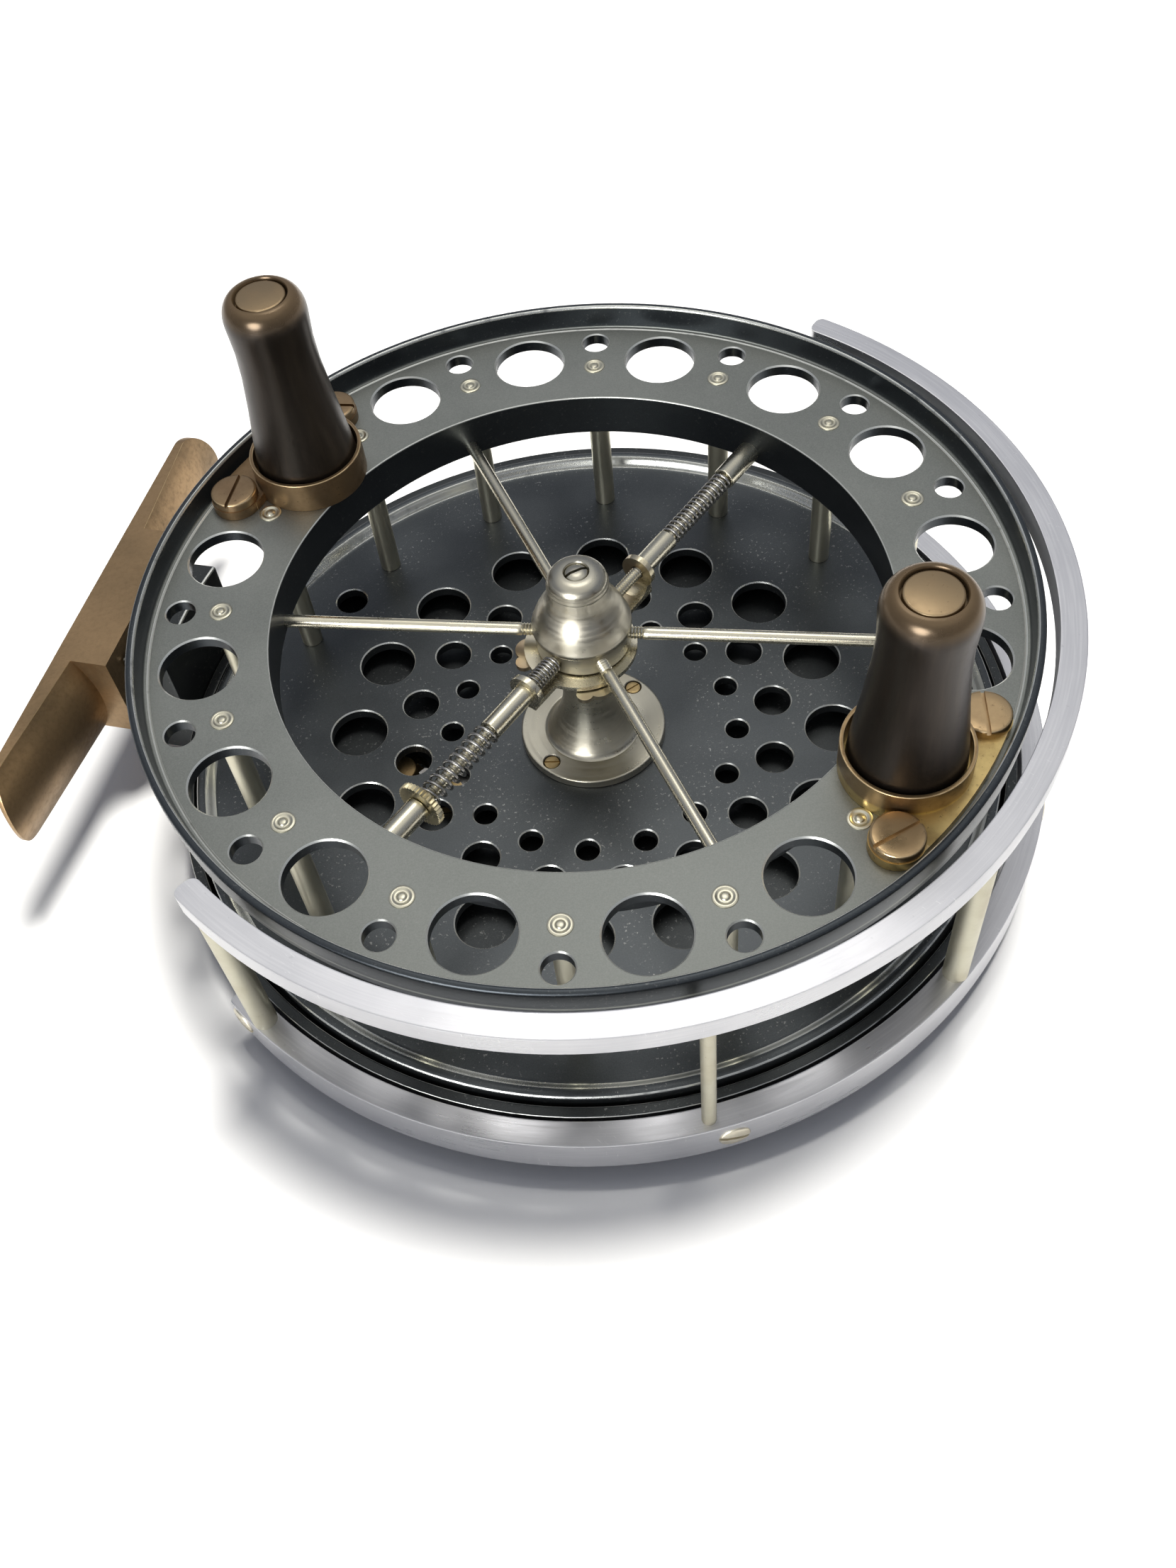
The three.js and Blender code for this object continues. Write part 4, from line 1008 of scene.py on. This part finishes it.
def lugged(disc, lug_at, plate_z, disc_edge, width):
    """Adds to a plate an arm that bends up into a round eye on its spoke."""
    bend = 1.6
    lug_end = lug_at + LUG_THICKNESS
    top_z = plate_z + SHEET
    arm = box("arm", (disc_edge - 1, -width / 2, plate_z), (lug_end, width / 2, top_z))
    post = box("post", (lug_at, -width / 2, plate_z), (lug_end, width / 2, SPOKE_Z))
    eye = turned("eye", [(EYE_RADIUS, lug_at), (EYE_RADIUS, lug_end)], 48)
    placed(eye, z=SPOKE_Z, tilt=90)
    corner = box("corner", (lug_at - bend, -width, plate_z + 0.3), (lug_at + 0.3, width, top_z + bend))
    scoop = turned("scoop", [(bend, -width * 2), (bend, width * 2)], 48)
    scoop.rotation_euler.x = pi / 2
    scoop.location = ((lug_at - bend) * MM, 0, (top_z + bend) * MM)
    settled(scoop)
    cut(corner, scoop)
    cut(corner, box("sides", (0, -width / 2, 0), (20, width / 2, 60)), "INTERSECT")
    for part in (arm, post, eye, corner):
        cut(disc, part, "UNION")
    bore = turned("bore", [(ROD_BORE, 0), (ROD_BORE, 20)], 32)
    placed(bore, z=SPOKE_Z, tilt=90)
    return cut(disc, bore)


DRAG_FLOOR = span("drag_plate")[0].z
DRAG_RADIUS = 7.2
DRAG_SHIFT = 0.6
DRAG_BORE = 2.15
drag_disc = DRAG_RADIUS - DRAG_SHIFT
drag = turned("drag_plate_bent", [(drag_disc, DRAG_FLOOR), (drag_disc, DRAG_FLOOR + SHEET)], 96)
placed(drag, x=DRAG_SHIFT)
cut(drag, turned("drag_bore", [(DRAG_BORE, DRAG_FLOOR - 1), (DRAG_BORE, DRAG_FLOOR + 2)], 48))
lugged(drag, TENSION_LUG, DRAG_FLOOR, DRAG_RADIUS, 2.6)
eased(drag, 0.1, 2, 40)
placed(drag, turn=HANDLE_TURN + TENSION_TURN)
plate_metal = nickel("nickel_plate", dull=0.35, roughness=0.24, color=(0.72, 0.67, 0.52), turning=0.3)
finished(drag, plate_metal, "drag", ["drag_plate"])

# ---- Drum: release spoke and latch plate ----
# The opposite spoke carries the latch. Pushing its lug outwards draws the hooked plate under the hub
# out of the spindle's groove, and a close coil behind the sleeve drives it back.
RELEASE_TURN = 270
RELEASE_LUG = 10.9
release_rod = spoke_rod("release_rod_threaded", headed, RELEASE_TURN, 24)
finished(release_rod, spoke_look, "drum", ["release_rod"], smooth=50)
coil_spring("release_coil", 1.25, 0.36, SLEEVE_END, HEAD_INNER, 15, RELEASE_TURN, "release_spring",
            "latch_slide")
sleeve("release_sleeve_tube", RELEASE_LUG + LUG_THICKNESS, RELEASE_TURN, "latch", "release_sleeve")
LATCH_FLOOR = span("latch_plate")[0].z
LATCH_RADIUS = 6.0
latch = turned("latch_plate_hooked", [(LATCH_RADIUS, LATCH_FLOOR), (LATCH_RADIUS, LATCH_FLOOR + SHEET)], 96)
for side in (-1, 1):
    for ring, radius, angle in ((0.4, 1.7, 128), (1.3, 1, 143)):
        lobe = turned("lobe", [(radius, LATCH_FLOOR), (radius, LATCH_FLOOR + SHEET)], 40)
        placed(lobe, x=LATCH_RADIUS + ring, turn=side * angle)
        cut(latch, lobe, "UNION")
slot_cut = turned("slot_cut", [(2.0, LATCH_FLOOR - 1), (2.0, LATCH_FLOOR + 2)], 40)
cut(latch, placed(stretched(slot_cut, 0.6), x=-1.2))
lugged(latch, RELEASE_LUG, LATCH_FLOOR, LATCH_RADIUS, 3)
eased(latch, 0.1, 2, 40)
placed(latch, turn=HANDLE_TURN + RELEASE_TURN)
latch_look = nickel("nickel_latch", dull=0.75, roughness=0.26, color=(0.68, 0.62, 0.45),
                    stain=(0.3, 0.18, 0.09), turning=0.2)
finished(latch, latch_look, "latch", ["latch_plate"])

# ---- Handle plates ----
# A brass plate under each handle: a crescent with a round ear at each end and a cup that the foot of
# the handle turns in. Two flat slotted screws hold it to the front flange.
HANDLE_RING = 41.3
CUP_RADIUS = 6.85
CUP_WALL = 0.45
CUP_HEIGHT = 4
EAR_RING = 46.3
EAR_RADIUS = 2.9
PLATE = 1.2
cup_base = FACE + 0.03
plate_top = cup_base + PLATE
PATINA = {
    1: brass("plate_brass_brown", (0.3, 0.2, 0.11), (0.13, 0.085, 0.045), 0.34, 0.7),
    2: brass("plate_brass_gold", (0.6, 0.45, 0.19), (0.26, 0.17, 0.07), 0.3, 0.7,
             above=(plate_top, (0.36, 0.25, 0.13), (0.2, 0.13, 0.065))),
}
SCREW_BRONZE = {
    1: brass("screw_bronze_brown", (0.36, 0.25, 0.14), (0.17, 0.11, 0.065), 0.32, 0.6),
    2: brass("screw_bronze_gold", (0.52, 0.37, 0.2), (0.3, 0.2, 0.11), 0.26, 0.45),
}
SCREW_SLOTS = {(1, -1): 30, (1, 1): 115, (2, -1): 65, (2, 1): 125}


def handle_plate(number, turn):
    half = 360 / STATIONS / 2
    outer = LIP_FOOT - 0.5
    inner = HANDLE_RING + 2
    crescent = turned(f"handle_plate_{number}_brass", [
        (inner, cup_base), (outer, cup_base), (outer, plate_top), (inner, plate_top),
    ], 192, tube=True)
    wedge = box("wedge", (0, -30, 20), (60, 30, 60))
    for side, near, far in ((-1, -60, 0), (1, 0, 60)):
        away = box("away", (-60, near, 10), (60, far, 70))
        cut(wedge, placed(away, turn=side * half))
    cut(crescent, wedge, "INTERSECT")
    for side in (-1, 1):
        ear = turned("ear", [(EAR_RADIUS, cup_base), (EAR_RADIUS, plate_top)], 48)
        cut(crescent, placed(placed(ear, x=EAR_RING), turn=side * half), "UNION")
    disc = turned("disc", [(CUP_RADIUS, cup_base), (CUP_RADIUS, plate_top)], 96)
    cut(crescent, placed(disc, x=HANDLE_RING), "UNION")
    wall = turned("wall", soft([
        (CUP_RADIUS - CUP_WALL, plate_top - 0.3), (CUP_RADIUS, plate_top - 0.3),
        (CUP_RADIUS, FACE + CUP_HEIGHT, 0.1), (CUP_RADIUS - CUP_WALL, FACE + CUP_HEIGHT, 0.1),
    ]), 96, tube=True)
    cut(crescent, placed(wall, x=HANDLE_RING), "UNION")
    hole = turned("pin_hole", [(1.65, cup_base - 1), (1.65, plate_top + 1)], 40)
    cut(crescent, placed(hole, x=HANDLE_RING))
    eased(crescent, 0.12, 2, 40)
    mark_edges(crescent, 0.12)
    placed(crescent, turn=HANDLE_TURN + turn)
    finished(crescent, PATINA[number], "drum", [f"handle_plate_{number}"])
    for side in (-1, 1):
        screw = slotted_screw(f"handle_{number}_screw_{'a' if side < 0 else 'b'}", 2.8, 1.1, 0.45)
        placed(screw, z=plate_top, turn=SCREW_SLOTS[(number, side)])
        on_ring(screw, EAR_RING, side * half)
        mark_worn(screw, lambda c, n: 0.2 < n.z < 0.97)
        finished(placed(screw, turn=HANDLE_TURN + turn), SCREW_BRONZE[number], "drum")


for number, turn in ((1, 0), (2, 180)):
    handle_plate(number, turn)

# ---- Handles and their pins ----
# Turned dark horn, swelling to the foot and waisted above it, satin from the hand. Each runs on a
# bronze pin whose flat head lies in a counterbore in the handle's top, with a fine gap round it.
barrel_low, barrel_high = span("handle_barrel_1")
HANDLE_FOOT = 6.15
SHOULDER = 4.75
PIN_HEAD = 2.8
HEAD_DEPTH = 1.2
HEAD_SUNK = 0.12
HANDLE_BORE = 1.7
SOCKET = PIN_HEAD + 0.25
CROWN = 2.5
handle_height = barrel_high.z - barrel_low.z
# how far up the handle, and how far in from the foot's radius
HANDLE_CURVE = (
    (0.02, 0.0), (0.1, 0.12), (0.22, 0.45), (0.4, 1.02), (0.6, 1.5), (0.74, 1.6), (0.84, 1.46), (0.88, 1.4),
)
horn_look = Look("dark_horn", metallic=0.55, Specular_IOR_Level=0.5)
horn_x, horn_y, horn_z = horn_look.axes()
horn_clouds = horn_look.noise(120, 4).rise(0.35, 0.7)
horn_upright = horn_look.vector(horn_x * 900, horn_y * 900, horn_z * 60)
horn_streaks = horn_look.noise(1.0, 3, 0.6, where=horn_upright).rise(0.4, 0.72)
horn_rub = horn_look.noise(900, 4, 0.7).rise(0.55, 0.75)
# the crown is painted a lighter golden brown: partly rubbed wear, partly a painted sheen
horn_crown_wear_and_sheen = (horn_z * (1 / MM)).rise(barrel_high.z - 2.6, barrel_high.z - 0.5)
horn_base = horn_look.mix(horn_streaks * 0.6, (0.026, 0.018, 0.012), (0.048, 0.034, 0.023))
horn_base = horn_look.mix(horn_clouds * 0.4, horn_base, (0.032, 0.024, 0.017))
horn_look.feed(Base_Color=horn_look.mix(horn_crown_wear_and_sheen * 0.6, horn_base, (0.17, 0.115, 0.06)))
horn_look.feed(Roughness=horn_clouds * 0.06 + horn_rub * 0.08 - horn_crown_wear_and_sheen * 0.06 + 0.3)
horn_look.bump(horn_streaks + horn_rub, 0.05, 0.03)
pin_look = brass("pin_bronze", (0.4, 0.29, 0.165), (0.25, 0.17, 0.1), 0.3, 0.4)
profile = [(HANDLE_FOOT - inset, barrel_low.z + handle_height * share) for share, inset in HANDLE_CURVE]
profile = [(HANDLE_BORE, barrel_low.z), (HANDLE_FOOT - 0.25, barrel_low.z)] + profile
top = barrel_high.z
for step in range(CURVE_STEPS + 1):
    t = step / CURVE_STEPS * pi / 2
    profile.append((SOCKET + 0.1 + (SHOULDER - SOCKET - 0.1) * cos(t), top - CROWN * (1 - sin(t))))
profile += [(SOCKET, top - HEAD_SUNK), (SOCKET, top - HEAD_DEPTH), (HANDLE_BORE, top - HEAD_DEPTH)]
barrel = turned("barrel", profile, 80, tube=True)
for number, turn in ((1, 0), (2, 180)):
    piece = twin(barrel, f"handle_barrel_{number}_horn")
    placed(piece, x=HANDLE_RING)
    placed(piece, turn=HANDLE_TURN + turn)
    finished(piece, horn_look, f"handle_{number}", [f"handle_barrel_{number}"])
    pin = turned(f"handle_pin_{number}_bronze", soft([
        (AXIS, FACE), (1.55, FACE), (1.55, top - HEAD_DEPTH), (PIN_HEAD, top - HEAD_DEPTH),
        (PIN_HEAD, top - HEAD_SUNK, 0.25), (AXIS, top - HEAD_SUNK),
    ]), 64)
    mark_worn(pin, lambda c, n: 0.2 < n.z < 0.97)
    placed(pin, x=HANDLE_RING)
    finished(placed(pin, turn=HANDLE_TURN + turn), pin_look, "drum", [f"handle_pin_{number}"])
bpy.data.objects.remove(barrel)

# ---- Table, light and camera ----
# A plain white table under soft daylight from behind on the right, and a camera held above the front
# of the reel.
bpy.ops.object.select_all(action="DESELECT")
bpy.ops.mesh.primitive_plane_add(size=4)
table = bpy.context.object
table.name = "table"
table_look = Look("table_white", roughness=0.35, metallic=0.0, Specular_IOR_Level=0.3)
table_clouds = table_look.noise(9, 3).rise(0.3, 0.7)
table_look.feed(Base_Color=table_look.mix(table_clouds * 0.6, (0.86, 0.86, 0.85), (0.83, 0.83, 0.83)))
table.data.materials.append(table_look.material)


def softbox(name, place, size, power, color, aim=(0, 0, 0.02)):
    light = bpy.data.lights.new(name, "AREA")
    light.shape = "DISK"
    light.size = size
    light.energy = power
    light.color = color
    lamp = bpy.data.objects.new(name, light)
    bpy.context.collection.objects.link(lamp)
    lamp.location = place
    lamp.rotation_euler = (Vector(aim) - Vector(place)).to_track_quat("-Z", "Y").to_euler()
    return lamp


# the window lights the table; the metal sees a dimmer one, and a pale wall in front on the left
softbox("window", (0.23, 0.32, 1.6), 0.4, 44.0, (1.0, 0.98, 0.94)).visible_glossy = False
softbox("window_glint", (0.02, 0.25, 0.68), 0.3, 0.55, (1.0, 0.98, 0.94)).visible_diffuse = False
softbox("wall", (-0.36, -0.6, 0.28), 0.4, 5.5, (1.0, 1.0, 1.0)).visible_diffuse = False
world = bpy.data.worlds.new("room")
world.use_nodes = True
room = world.node_tree
direction = room.nodes.new("ShaderNodeTexCoord").outputs["Generated"]
height = room.nodes.new("ShaderNodeSeparateXYZ")
room.links.new(direction, height.inputs[0])
sky = room.nodes.new("ShaderNodeValToRGB")
sky.color_ramp.interpolation = "EASE"
stops = (
    (0.0, (0.3, 0.3, 0.32, 1)), (0.35, (0.24, 0.26, 0.31, 1)), (0.62, (0.3, 0.32, 0.38, 1)),
    (0.9, (0.85, 0.85, 0.85, 1)),
)
for position, color in stops[2:]:
    sky.color_ramp.elements.new(position).color = color
for element, (position, color) in zip(sky.color_ramp.elements, stops):
    element.position = position
    element.color = color
room.links.new(height.outputs["Z"], sky.inputs["Fac"])
path = room.nodes.new("ShaderNodeLightPath")
shown = room.nodes.new("ShaderNodeMix")
shown.data_type = "RGBA"
shown.inputs[7].default_value = (0.95, 0.95, 0.95, 1)
room.links.new(path.outputs["Is Camera Ray"], shown.inputs["Factor"])
# matt things are lit by a dimmer room than the one the metal mirrors, so the shadow stays deep
fill = room.nodes.new("ShaderNodeMix")
fill.data_type = "RGBA"
fill.inputs[7].default_value = (0.19, 0.2, 0.235, 1)
room.links.new(path.outputs["Is Diffuse Ray"], fill.inputs["Factor"])
room.links.new(sky.outputs["Color"], fill.inputs[6])
room.links.new(fill.outputs[2], shown.inputs[6])
room.links.new(shown.outputs[2], room.nodes["Background"].inputs["Color"])
bpy.context.scene.world = world
bpy.context.scene.view_settings.view_transform = "Standard"

CAMERA_PLACE = (-0.00155, -0.11428, 0.15520)
CAMERA_DIP = 54.15
CAMERA_ROLL = -7.04
lens = bpy.data.cameras.new("camera")
lens.sensor_width = 36
lens.lens = 33.94
lens.clip_start = 0.001
camera = bpy.data.objects.new("camera", lens)
bpy.context.collection.objects.link(camera)
tilt = Matrix.Rotation(radians(90 - CAMERA_DIP), 4, "X") @ Matrix.Rotation(radians(CAMERA_ROLL), 4, "Z")
camera.matrix_world = Matrix.Translation(CAMERA_PLACE) @ tilt
bpy.context.scene.camera = camera
